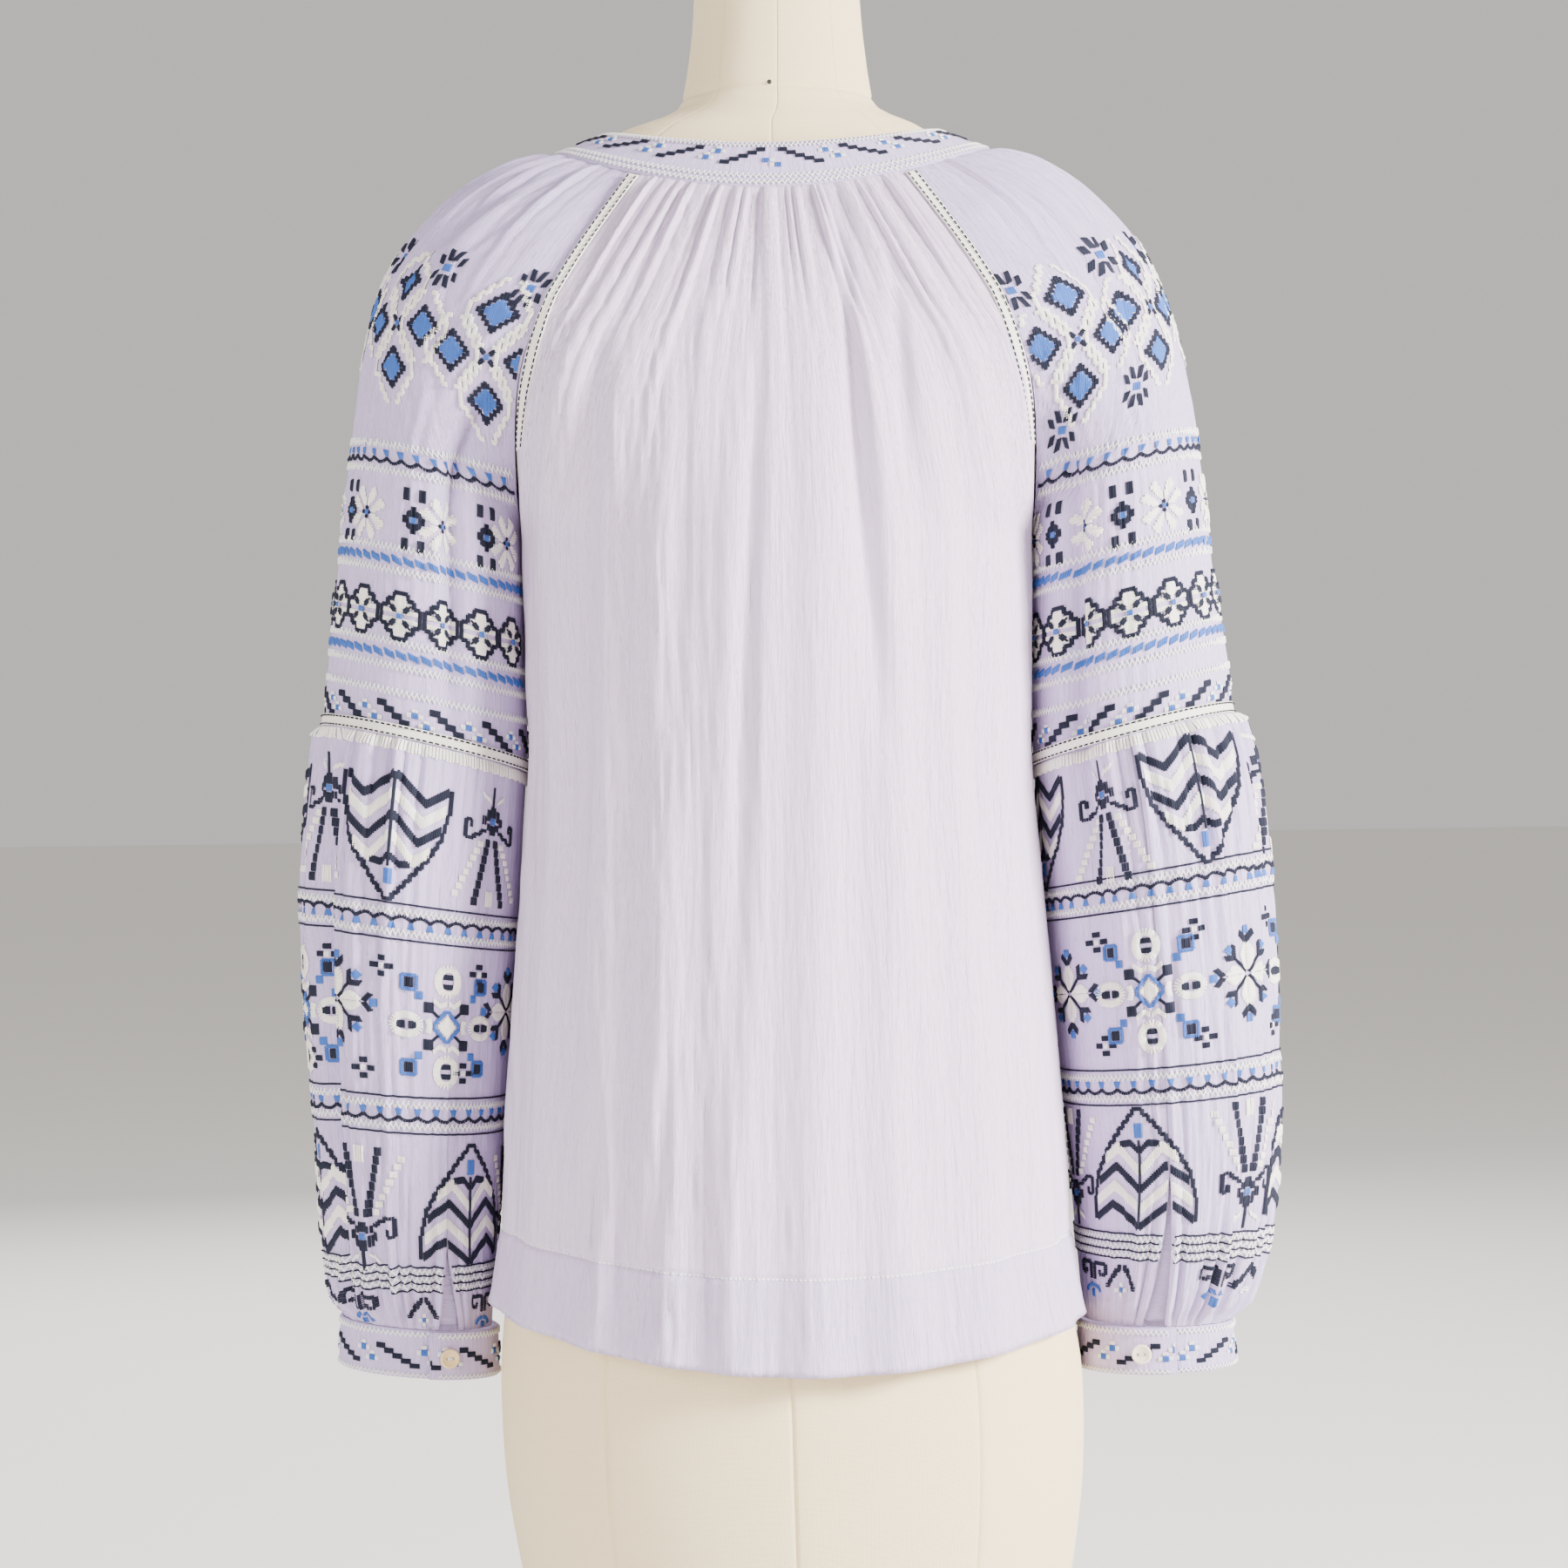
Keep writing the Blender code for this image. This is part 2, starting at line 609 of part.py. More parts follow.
def build():
    clear_scene()
    gauze = material("gauze", (0.66, 0.63, 0.76), 0.9)
    lining = material("lavender_cotton", (0.60, 0.56, 0.70), 0.9)
    band = material("embroidered_band", (0.62, 0.60, 0.70), 0.85)
    tape = material("ivory_tape", (0.80, 0.76, 0.66), 0.85)
    horn = material("horn_button", (0.62, 0.47, 0.30), 0.4)
    shell = material("cream_button", (0.84, 0.80, 0.70), 0.35)
    linen = material("linen", (0.72, 0.67, 0.56), 0.92)
    cap = material("neck_cap_paint", (0.07, 0.07, 0.075), 0.5)
    wood = material("board_wood", (0.48, 0.34, 0.21), 0.6)
    steel = material("stand_paint", (0.10, 0.10, 0.10), 0.45)

    body_panel(1, gauze)
    body_panel(-1, gauze)
    neckband(band)
    for side in (1, -1):
        upper_sleeve(side, gauze)
        lower_sleeve(side, gauze)
        cuff(side, band)
        placket(side, lining)
        elbow_tape(side, tape)
        for face in (1, -1):
            raglan_tape(face, side, tape)
        button(side, horn if side > 0 else shell)
    dress_form(linen, cap, wood)
    stand(steel)


build()
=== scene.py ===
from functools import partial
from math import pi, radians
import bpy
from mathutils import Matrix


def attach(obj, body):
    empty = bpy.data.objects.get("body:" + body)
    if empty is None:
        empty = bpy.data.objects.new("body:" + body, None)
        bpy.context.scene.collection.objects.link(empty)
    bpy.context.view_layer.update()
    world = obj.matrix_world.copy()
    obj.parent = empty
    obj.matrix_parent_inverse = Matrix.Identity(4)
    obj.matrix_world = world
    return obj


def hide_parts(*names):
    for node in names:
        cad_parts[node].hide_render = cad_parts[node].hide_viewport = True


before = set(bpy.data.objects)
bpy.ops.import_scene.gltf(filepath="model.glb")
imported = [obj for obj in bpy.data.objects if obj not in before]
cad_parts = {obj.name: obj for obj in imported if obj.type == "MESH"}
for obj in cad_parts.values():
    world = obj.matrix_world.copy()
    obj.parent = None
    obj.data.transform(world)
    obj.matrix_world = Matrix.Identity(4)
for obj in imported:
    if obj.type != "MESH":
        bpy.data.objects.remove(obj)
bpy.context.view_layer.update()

# Everything below is in millimetres in the CAD's own frame until a mesh is made, where it turns into
# metres. The wearer would face -Y, the back is at +Y and the wearer's left is at +X.
from types import SimpleNamespace

import bmesh
import bpy
import numpy as np
from mathutils import Matrix, Vector


# Camera, floor and light
# The photo looks level at the back from 2 m away, turned by less than a degree. The floor is plain and
# pale. A large soft light stands at the picture's right, a weaker one at its left.
CAMERA_PLACE = (-0.0021, 2.0, 0.6355)
CAMERA_ROLL = -0.774          # degrees
LENS, SENSOR = 80.0, 36.0     # millimetres
LIGHTS = (                    # name, place, target, size, power and colour
    ("key_light", (-2.5, 1.35, 1.55), (0, 0, 0.62), 0.8, 420, (1.0, 0.98, 0.94)),
    ("fill_light", (1.9, 2.4, 1.3), (0, 0, 0.6), 1.8, 98, (1.0, 0.98, 0.98)),
    ("front_light", (0.6, -2.6, 2.0), (0, 0, 0.7), 2.0, 80, (1.0, 0.98, 0.96)),
)
STUDIO_COLOR, STUDIO_STRENGTH = (0.92, 0.88, 0.84), 0.72
FLOOR_COLOR, FLOOR_REACH, FLOOR_DROP = (0.88, 0.86, 0.84), 40, 0.0005


def in_scene(name, data):
    """A new object of some data, linked into the scene."""
    made = bpy.data.objects.new(name, data)
    bpy.context.collection.objects.link(made)
    return made


def mesh_of(name, bm):
    """A mesh of a bmesh, which is freed."""
    mesh = bpy.data.meshes.new(name)
    bm.to_mesh(mesh)
    bm.free()
    return mesh


def new_look(name, color, roughness, sheen=0.0):
    """A material and the handles that a section needs to build its nodes."""
    look = bpy.data.materials.new(name)
    look.use_nodes = True
    shader = look.node_tree.nodes["Principled BSDF"]
    shader.inputs["Base Color"].default_value = (*color, 1)
    shader.inputs["Roughness"].default_value = roughness
    shader.inputs["Sheen Weight"].default_value = sheen
    shader.inputs["Sheen Roughness"].default_value = 0.5
    return look, look.node_tree, shader


camera_data = bpy.data.cameras.new("camera")
camera_data.lens = LENS
camera_data.sensor_width = SENSOR
camera = in_scene("camera", camera_data)
looks_back = Matrix.Rotation(pi, 4, "Z") @ Matrix.Rotation(pi / 2, 4, "X")
rolled = Matrix.Rotation(radians(CAMERA_ROLL), 4, "Z")
camera.matrix_world = Matrix.Translation(CAMERA_PLACE) @ looks_back @ rolled
bpy.context.scene.camera = camera

for name, place, target, size, power, color in LIGHTS:
    lamp = bpy.data.lights.new(name, "AREA")
    lamp.size = size
    lamp.energy = power
    lamp.color = color
    aim = (Vector(target) - Vector(place)).to_track_quat("-Z", "Y").to_matrix().to_4x4()
    in_scene(name, lamp).matrix_world = Matrix.Translation(place) @ aim

world = bpy.data.worlds.new("studio")
world.use_nodes = True
background = world.node_tree.nodes["Background"]
background.inputs["Color"].default_value = (*STUDIO_COLOR, 1)
background.inputs["Strength"].default_value = STUDIO_STRENGTH
bpy.context.scene.world = world

bm = bmesh.new()
bmesh.ops.create_grid(bm, x_segments=1, y_segments=1, size=FLOOR_REACH)
floor = in_scene("floor", mesh_of("floor", bm))
floor.location.z = -FLOOR_DROP
floor.data.materials.append(new_look("floor_look", FLOOR_COLOR, 0.8)[0])


# Dress form
# A limbless torso padded and covered in cream linen, cut in panels that meet in seams down the centre
# back, the centre front and the princess lines, and round the base of the neck.
FORM_COLUMNS = "z half_width back front shift"
FORM = [
    (140, 148, 104, 98, -4), (185, 157, 112, 104, -4), (240, 165, 119, 109, -3),
    (295, 166.5, 121, 111, -2), (335, 162.5, 120, 111, -0.5), (370, 157.5, 117, 109, 0),
    (410, 152, 113, 107, 0), (470, 145, 104, 104, 0), (550, 125, 92, 98, 0), (620, 115, 86, 96, 0),
    (680, 126, 94, 110, 0), (730, 136, 101, 119, 0), (770, 138.5, 104, 112, 0), (800, 146, 102, 109, 0),
    (825, 157, 99, 105, 0), (860, 171, 94, 99, 0), (900, 176, 87, 91, 0), (940, 174, 76, 76, 0),
    (960, 164, 68, 66, 0), (975, 145, 61, 57, 0), (992.9, 117, 56, 50, 0), (1007, 91, 52.5, 46, 0),
    (1012, 80, 50, 46, -2), (1018, 64, 49, 46, -3.5), (1027, 55, 48, 46, -3.5),
    (1060, 49.5, 46, 45, -4), (1085, 47.5, 45, 44, -4),
]
LINEN = (0.97, 0.77, 0.46)


def along(columns, table, place):
    """Named columns of a table at places between its rows, on smooth curves through them."""
    rows = np.asarray(table, float)
    place = np.asarray(place, float)
    index = np.clip(place.astype(int), 0, len(rows) - 2)
    f = (place - index)[..., None]
    p, q, r, s = (rows[np.clip(index + k, 0, len(rows) - 1)] for k in (-1, 0, 1, 2))
    values = q + 0.5 * f * (r - p + f * (2 * p - 5 * q + 4 * r - s + f * (3 * (q - r) + s - p)))
    return SimpleNamespace(**dict(zip(columns.split(), values.T)))


def points(x, y, z):
    return np.stack(np.broadcast_arrays(x, y, z), axis=-1)


def unit(vectors):
    return vectors / np.maximum(np.linalg.norm(vectors, axis=-1, keepdims=True), 1e-9)


def finish_mesh(name, mesh, look):
    """An object of the mesh, shaded smooth, that rides on the root body."""
    mesh.shade_smooth()
    mesh.materials.append(look)
    made = in_scene(name, mesh)
    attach(made, "root")
    return made


def arc_length(path):
    """Distance of each point of a path from its start."""
    return np.concatenate(([0], np.cumsum(np.linalg.norm(np.diff(path, axis=0), axis=1))))


def laid_grid(name, across, down, surface, look, closed=False):
    """A grid whose columns and rows are laid on a surface, with its real size in metres as its UV."""
    columns, rows = len(across) - 1, len(down) - 1
    bm = bmesh.new()
    bm.loops.layers.uv.new("cloth")
    bmesh.ops.create_grid(bm, x_segments=columns, y_segments=rows, size=1, calc_uvs=True)
    for face in bm.faces:
        face.normal_flip()
    mesh = mesh_of(name, bm)
    flat = np.empty(len(mesh.vertices) * 3)
    mesh.vertices.foreach_get("co", flat)
    flat = flat.reshape(-1, 3)
    column = np.rint((flat[:, 0] + 1) / 2 * columns).astype(int)
    row = np.rint((1 - flat[:, 1]) / 2 * rows).astype(int)
    laid = surface(np.asarray(across)[column], np.asarray(down)[row]) * 0.001
    mesh.vertices.foreach_set("co", laid.ravel())

    place = np.empty((columns + 1, rows + 1, 3))
    place[column, row] = laid
    width = np.linalg.norm(np.diff(place, axis=0), axis=2).mean(axis=1)
    height = np.linalg.norm(np.diff(place, axis=1), axis=2).mean(axis=0)
    u = np.concatenate(([0], np.cumsum(width)))[column]
    v = np.concatenate(([0], np.cumsum(height)))[row]
    corner = np.empty(len(mesh.loops), dtype=int)
    mesh.loops.foreach_get("vertex_index", corner)
    mesh.uv_layers["cloth"].data.foreach_set("uv", np.stack((u, v), axis=1)[corner].ravel())
    mesh.attributes.new("row", "FLOAT", "POINT").data.foreach_set("value", np.asarray(down, float)[row])
    if closed:
        bm = bmesh.new()
        bm.from_mesh(mesh)
        bmesh.ops.remove_doubles(bm, verts=bm.verts, dist=1e-6)
        bmesh.ops.holes_fill(bm, edges=bm.edges, sides=20)
        bm.to_mesh(mesh)
        bm.free()
    mesh.update()
    return finish_mesh(name, mesh, look)


def node(tree, kind, links=None, **values):
    """A node with its properties and inputs set and its inputs linked."""
    made = tree.nodes.new(kind)
    for key, value in values.items():
        if hasattr(made, key):
            setattr(made, key, value)
        else:
            made.inputs[key.replace("_", " ")].default_value = value
    for key, socket in (links or {}).items():
        tree.links.new(socket, made.inputs[key])
    return made


def stretched_uv(tree, across, down):
    """Cloth coordinates, in metres, multiplied by two frequencies."""
    uv = node(tree, "ShaderNodeUVMap", uv_map="cloth")
    mapping = node(tree, "ShaderNodeMapping", {"Vector": uv.outputs["UV"]})
    mapping.inputs["Scale"].default_value = (across, down, 1)
    return mapping.outputs["Vector"]


def tinted(tree, factor, low, high, dark, light):
    """A colour between dark and light as the factor goes from low to high."""
    ramp = node(tree, "ShaderNodeValToRGB", {"Fac": factor})
    ramp.color_ramp.elements[0].position = low
    ramp.color_ramp.elements[0].color = (*dark, 1)
    ramp.color_ramp.elements[1].position = high
    ramp.color_ramp.elements[1].color = (*light, 1)
    return ramp.outputs["Color"]


def scaled(color, factor):
    return tuple(min(1.0, part * factor) for part in color)


def added(tree, first, second):
    """Sum of two sockets."""
    return node(tree, "ShaderNodeMath", {0: first, 1: second}, operation="ADD").outputs[0]


def halved(tree, factor):
    return node(tree, "ShaderNodeMath", {0: factor}, operation="MULTIPLY").outputs[0]


def surfaced(tree, shader, height, strength, distance, tint=None, before=None):
    """Bump of a material, over an earlier one if there is one, and its colour."""
    if tint is not None:
        tree.links.new(tint, shader.inputs["Base Color"])
    links = {"Height": height} if before is None else {"Height": height, "Normal": before}
    bump = node(tree, "ShaderNodeBump", links, Strength=strength, Distance=distance)
    tree.links.new(bump.outputs["Normal"], shader.inputs["Normal"])


def weave(tree, shader, pitch, depth, color, slub=0.12, before=None):
    """Plain weave: threads both ways as bump and as a slight change of colour, with uneven slubs."""
    count = 1 / pitch / 2
    ends, picks = (node(tree, "ShaderNodeTexWave", {"Vector": stretched_uv(tree, count, count)},
                        bands_direction=way, Scale=1.0, Distortion=1.2, Detail=2.0, Detail_Scale=1.5)
                   for way in "XY")
    slubs = node(tree, "ShaderNodeTexNoise", {"Vector": stretched_uv(tree, 40, 900)}, Scale=1.0, Detail=3.0)
    mixed = added(tree, added(tree, ends.outputs["Fac"], picks.outputs["Fac"]), slubs.outputs["Fac"])
    tint = tinted(tree, halved(tree, mixed), 0.2, 1.1, scaled(color, 1 - slub), scaled(color, 1 + slub / 2))
    surfaced(tree, shader, mixed, 0.6, depth, tint, before)


def refinish(node_name, look):
    """Give a CAD node, which keeps its shape, a better material."""
    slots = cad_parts[node_name].data.materials
    slots.clear()
    slots.append(look)


linen_look, tree, shader = new_look("linen_cover", LINEN, 0.9, 0.15)
weave(tree, shader, 0.0009, 0.0004, LINEN)

# Seams as turns round the form in degrees from the centre back, and how far each one dips
form_seams = {0: 1.5, 38: 1.4, -38: 1.4, 90: 1.0, -90: 1.0, 142: 1.4, -142: 1.4, 180: 1.5}
seam_steps = np.array((-0.9, -0.45, -0.2, 0, 0.2, 0.45, 0.9))
form_turns = np.unique(np.concatenate(
    [np.arange(-180, 181, 4.0)] + [np.clip(turn + seam_steps, -180, 180) for turn in form_seams]))
neck_seam_row = 24.0
form_rows = np.unique(np.concatenate((np.linspace(0, 26, 105), neck_seam_row + seam_steps * 0.2)))


def form_surface(turn, v):
    """The form's cover, dipping at its seams."""
    ring = along(FORM_COLUMNS, FORM, v)
    theta = np.radians(turn)
    depth = np.where(np.cos(theta) > 0, ring.back, ring.front)
    dip = sum(size * np.exp(-((turn - at) / 0.35) ** 2) for at, size in form_seams.items())
    dip = dip + 4.5 * np.exp(-((v - neck_seam_row) / 0.07) ** 2)
    share = 1 - dip / 150
    return points(ring.shift + ring.half_width * np.sin(theta) * share, depth * np.cos(theta) * share, ring.z)


form_cover = laid_grid("form_cover", form_turns, form_rows, form_surface, linen_look, closed=True)
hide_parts("dress_form")

PIN_TURN, PIN_HEIGHT, PIN_RADIUS = 4.5, 1029, 0.0013
pin_rows = np.linspace(20, 26, 400)
pin_path = form_surface(np.full_like(pin_rows, PIN_TURN), pin_rows)
pin_place = pin_path[np.argmin(np.abs(pin_path[:, 2] - PIN_HEIGHT))] * 0.001
pin_look, _, shader = new_look("pin_steel", (0.05, 0.045, 0.04), 0.3)
shader.inputs["Metallic"].default_value = 0.8
bm = bmesh.new()
bmesh.ops.create_uvsphere(bm, u_segments=20, v_segments=12, radius=PIN_RADIUS)
bmesh.ops.scale(bm, vec=(1, 0.6, 1), verts=bm.verts)
bmesh.ops.translate(bm, vec=pin_place, verts=bm.verts)
finish_mesh("neck_pin", mesh_of("neck_pin", bm), pin_look)

cap_look, tree, shader = new_look("cap_grey", (0.05, 0.05, 0.055), 0.45)
grain = node(tree, "ShaderNodeTexNoise", Scale=900.0, Detail=3.0)
surfaced(tree, shader, grain.outputs["Fac"], 0.3, 0.0002)
refinish("neck_cap", cap_look)


# Blouse shape
# Five gauze pieces: a back and a front gathered under the neckband, and two raglan sleeves, gathered at
# the neck, taped at the elbow and gathered again above the cuff. The tables give their un-gathered form.
ARMPIT, ELBOW, CUFF_TOP, CUFF_BOTTOM = 9, 14, 23, 24
SLEEVE_COLUMNS = "in_x in_y in_z out_x out_y out_z spread skew depth lean right_x right_z"
SLEEVE = [
    (87.5, -3.5, 966.5, 125.5, -8, 996, 58, 12.4, 74.9, 12.4, 0, 0),
    (103, -6, 938.5, 152, -8, 989, 65, 9.9, 83.9, 13.8, -1, 0),
    (115.2, -6, 914, 178, -9, 975.5, 73, 7.1, 88.9, 14.6, -3, 0),
    (126.5, -5, 891, 199.5, -10, 957, 82, 4.5, 89.4, 14.1, -4, 0),
    (135, -4, 872, 215, -11, 938, 92, 2.0, 86.0, 15.0, -5, 0),
    (140.5, -4, 853, 225, -11, 918, 103, 0.5, 82.0, 15.4, -5, 0),
    (144, -3, 833, 232, -12, 896, 117, 0, 77.4, 16.8, -4, 0),
    (146, -3, 812, 237.5, -12, 871, 134, 0, 73.7, 16.7, -3, 0),
    (146.7, -3, 791, 241.5, -12, 845, 155, 0, 71.0, 16.0, -2, 0),
    (146.4, -3, 775, 245, -12, 819, 180, 0, 69.0, 14.0, -2, 0),
    (146.2, -4, 745, 249, -12, 790, 180, 0, 67.0, 12.0, -2, 0),
    (146, -5, 715, 253, -12, 757, 180, 0, 65.0, 10.0, -3, 0),
    (145.6, -6, 685, 258, -12, 718, 180, 0, 63.0, 8.0, -2, 0),
    (145.6, -7, 665, 260.5, -12, 693, 180, 0, 62.0, 6.0, -1, 0),
    (146.2, -8, 647, 261.5, -12, 675, 180, 0, 61.0, 5.0, -2, 0),
    (147.5, -9, 631, 264.5, -13, 659, 180, 0, 63.0, 4.0, 1, 0),
    (149.5, -10, 603, 269, -13, 629, 180, 0, 66.0, 3.0, 4, 0),
    (152, -11, 565, 274, -14, 585, 180, 0, 67.0, 2.0, 5, 0),
    (156, -12, 515, 275, -15, 530, 180, 0, 67.0, 1.0, 8, 0),
    (160, -13, 465, 272, -16, 475, 180, 0, 66.0, 0, 12, 0),
    (164, -14, 415, 268.5, -17, 424, 180, 0, 63.0, 0, 15, -3),
    (167, -15, 378, 265, -18, 384, 180, 0, 57.0, 0, 12, -6),
    (169.3, -16, 350, 260.5, -18, 358, 180, 0, 48.0, 0, 7, -8),
    (171.2, -17, 325, 256.5, -18, 333, 180, 0, 38.0, 0, 0, -9),
    (170.8, -17, 297, 257.5, -18, 305, 180, 0, 37.0, 0, 0, -7),
]
CENTRE_COLUMNS = "back_y back_z back_wrap front_y front_z front_wrap"
CENTRE = [
    (75, 965, 37, 104, 897, 50), (84, 942, 43, 108, 880, 54), (91, 921, 50, 111, 864, 58),
    (97, 900, 57, 113, 850, 62), (101, 883, 63, 115, 836, 67), (105, 865, 69, 116, 823, 72),
    (108, 846, 75, 117, 810, 77), (110, 823, 80, 118, 797, 82), (111, 798, 86, 119, 785, 87),
    (112, 775, 90, 120, 775, 90),
]
BODY_COLUMNS = "z half_width back front tilt dip"
BODY = [
    (775, 144.0, 112, 120, 0, 0), (735, 143.5, 112, 128, 0, 0), (695, 142.8, 112, 134, 0, 0),
    (655, 141.6, 112, 134, 0, 0), (615, 144, 113, 130, 0, 0), (575, 147.5, 116, 127, 0, 0),
    (530, 151, 120, 126, 1, 1), (480, 154.6, 126, 125, 2, 3), (430, 158, 130, 124, 3, 5),
    (387, 160, 133, 123, 3.5, 11), (355, 164.2, 135, 122, 5, 17), (337.5, 168, 136, 121, 5.5, 19.5),
]
BAND_TOP = SimpleNamespace(half_width=96.5, back_y=62, back_z=992.5, side_z=1007, front_y=90, front_z=925)
BAND_BOTTOM = SimpleNamespace(half_width=125.5, back_y=75, back_z=965, side_z=996, front_y=104, front_z=897)
BACK_SEAM_TURN, FRONT_SEAM_TURN = 37, 130
FEATHER_ROWS = 3.0
ARMPIT_CLEAR = 2.4


def neck_edge(edge, turn):
    """Points of a neckband edge, turned in degrees from the centre back to the wearer's left."""
    theta = np.radians(turn)
    at_back = np.cos(theta) > 0
    y = np.where(at_back, edge.back_y, edge.front_y) * np.cos(theta)
    z = np.where(at_back, edge.back_z, edge.front_z)
    return points(edge.half_width * np.sin(theta), y, edge.side_z + (z - edge.side_z) * np.cos(theta) ** 2)


def met_band(shape, s, v, turn):
    """The shape's points, drawn onto the neckband's lower edge in its first rows."""
    share = np.clip(1 - v / FEATHER_ROWS, 0, None) ** 2
    share = np.where(v < FEATHER_ROWS, share, 0)[..., None]
    return shape(s, v) + (neck_edge(BAND_BOTTOM, turn) - shape(s, v * 0)) * share


def sleeve_base(side, s, v):
    """Sleeve without gathers. s runs from the back seam (-1) over the outer side to the front (1)."""
    def shape(s, v):
        row = along(SLEEVE_COLUMNS, SLEEVE, v)
        right = side < 0
        outer = points(row.out_x + right * row.right_x, row.out_y, row.out_z + right * row.right_z)
        inner = points(row.in_x, row.in_y, row.in_z)
        forward = points(row.skew, -row.depth, -row.lean)
        spread = np.radians(np.minimum(row.spread, 180))[..., None]
        turn = spread * s[..., None]
        reach = (outer - inner) / (1 - np.cos(spread))
        return outer + reach * (np.cos(turn) - 1) + forward * np.sin(turn)

    neck_turn = BACK_SEAM_TURN + (FRONT_SEAM_TURN - BACK_SEAM_TURN) * (s + 1) / 2
    return met_band(shape, s, v, neck_turn) * (side, 1, 1)


def torso_base(face, s, v):
    """Body panel without gathers. face is 1 for the back, -1 for the front, s goes towards +X."""
    def shape(s, v):
        ring = along(BODY_COLUMNS, BODY, np.clip(v - ARMPIT, 0, None))
        phi = s * pi / 2
        depth = ring.back if face > 0 else -ring.front
        lower = points(ring.half_width * np.sin(phi), (depth + 3) * np.cos(phi) - 3,
                       ring.z + ring.tilt * np.sin(phi) - ring.dip * np.cos(phi) ** 2)
        upper_v = np.minimum(v, ARMPIT)
        row = along(CENTRE_COLUMNS, CENTRE, upper_v)
        y, z, wrap = (row.back_y, row.back_z, row.back_wrap) if face > 0 else \
            (-row.front_y, row.front_z, row.front_wrap)
        edge = sleeve_base(1, np.full_like(s, -face), upper_v)
        edge_x = edge[..., 0] - ARMPIT_CLEAR * (np.clip(upper_v, 0, None) / ARMPIT) ** 3
        wrap = np.radians(wrap)
        rise = (np.cos(wrap * s) - np.cos(wrap)) / (1 - np.cos(wrap))
        upper = points(edge_x * np.sin(wrap * s) / np.sin(wrap),
                       edge[..., 1] + (y - edge[..., 1]) * rise, edge[..., 2] + (z - edge[..., 2]) * rise)
        return np.where((v > ARMPIT)[..., None], lower, upper)

    turn = BACK_SEAM_TURN * s if face > 0 else 180 - (180 - FRONT_SEAM_TURN) * s
    return met_band(shape, s, v, turn)


def outward(base, s, v, sign):
    """Directions out of a surface, from small steps along it."""
    across = base(s + 0.01, v) - base(s - 0.01, v)
    down = base(s, v + 0.01) - base(s, v - 0.01)
    return unit(np.cross(across, down)) * sign


def waves(count, s, v, reach, uneven=0.45):
    """Heights of a row of uneven gathers, 0 in their narrow valleys. Each fades at its own row."""
    place = count * (s + 1) / 2
    place = place + 0.28 * np.sin(1.7 * place + 0.5) + 0.17 * np.sin(0.83 * place + 2)
    own = np.sin(2.4 * np.floor(place) + 1)
    fade = np.exp(-(v / (reach * (1 + 0.45 * np.sin(5.1 * np.floor(place) + 2)))) ** 1.6)
    return (1 - uneven + uneven * own) * np.abs(np.sin(pi * place)) ** 0.55 * fade


def crinkle(u, v, seed, shortest=4.0, longest=12.0, count=12):
    """Long, straight, uneven ripples of gauze along v that come and go, u and v in millimetres."""
    rng = np.random.default_rng(seed)
    total = 0
    for _ in range(count):
        length, bend, patch = rng.uniform(shortest, longest), rng.uniform(120, 320), rng.uniform(50, 160)
        phase, lean, start = rng.uniform(0, 2 * pi, 3)
        here = np.clip(np.sin(2 * pi * v / patch + start + u / 13 + lean), -0.35, 1) + 0.35
        total = total + here * np.sin(2 * pi * u / length + phase + 0.7 * np.sin(2 * pi * v / bend + lean))
    return total / count ** 0.5 / 1.2


def near_edges(s, flat, width):
    """0 in the flat strip along a panel's edges, rising to 1 over the width inside it."""
    return np.clip((1 - np.abs(s) - flat) / width, 0, 1)


def evenly(base, v0, v1, step, s=0.0):
    """Rows from v0 to v1 that lie about one step apart along the middle of a surface."""
    fine = np.linspace(v0, v1, 1500)
    path = base(np.full_like(fine, s), fine)
    length = arc_length(path)
    return np.interp(np.linspace(0, length[-1], int(length[-1] / step) + 1), length, fine)


GAUZE = (0.58, 0.465, 0.76)
PANEL_GAUZE = (0.75, 0.61, 0.825)     # paler where the form shows through


def gauze(name, color):
    """Double gauze: plain weave over long fine crinkles that run down the cloth."""
    look, tree, shader = new_look(name, color, 0.92, 0.2)
    ribs = node(tree, "ShaderNodeTexNoise", {"Vector": stretched_uv(tree, 150, 9)},
                Scale=1.0, Detail=3.0, Roughness=0.55, Distortion=0.3)
    fine = node(tree, "ShaderNodeTexNoise", {"Vector": stretched_uv(tree, 420, 40)},
                Scale=1.0, Detail=4.0, Roughness=0.6, Distortion=0.3)
    both = added(tree, ribs.outputs["Fac"], fine.outputs["Fac"])
    bump = node(tree, "ShaderNodeBump", {"Height": both}, Strength=1.0, Distance=0.0016)
    weave(tree, shader, 0.0006, 0.00025, color, 0.07, bump.outputs["Normal"])
    return look, tree, shader


gauze_look, _, _ = gauze("crinkled_gauze", GAUZE)
panel_look, panel_tree, panel_shader = gauze("panel_gauze", PANEL_GAUZE)


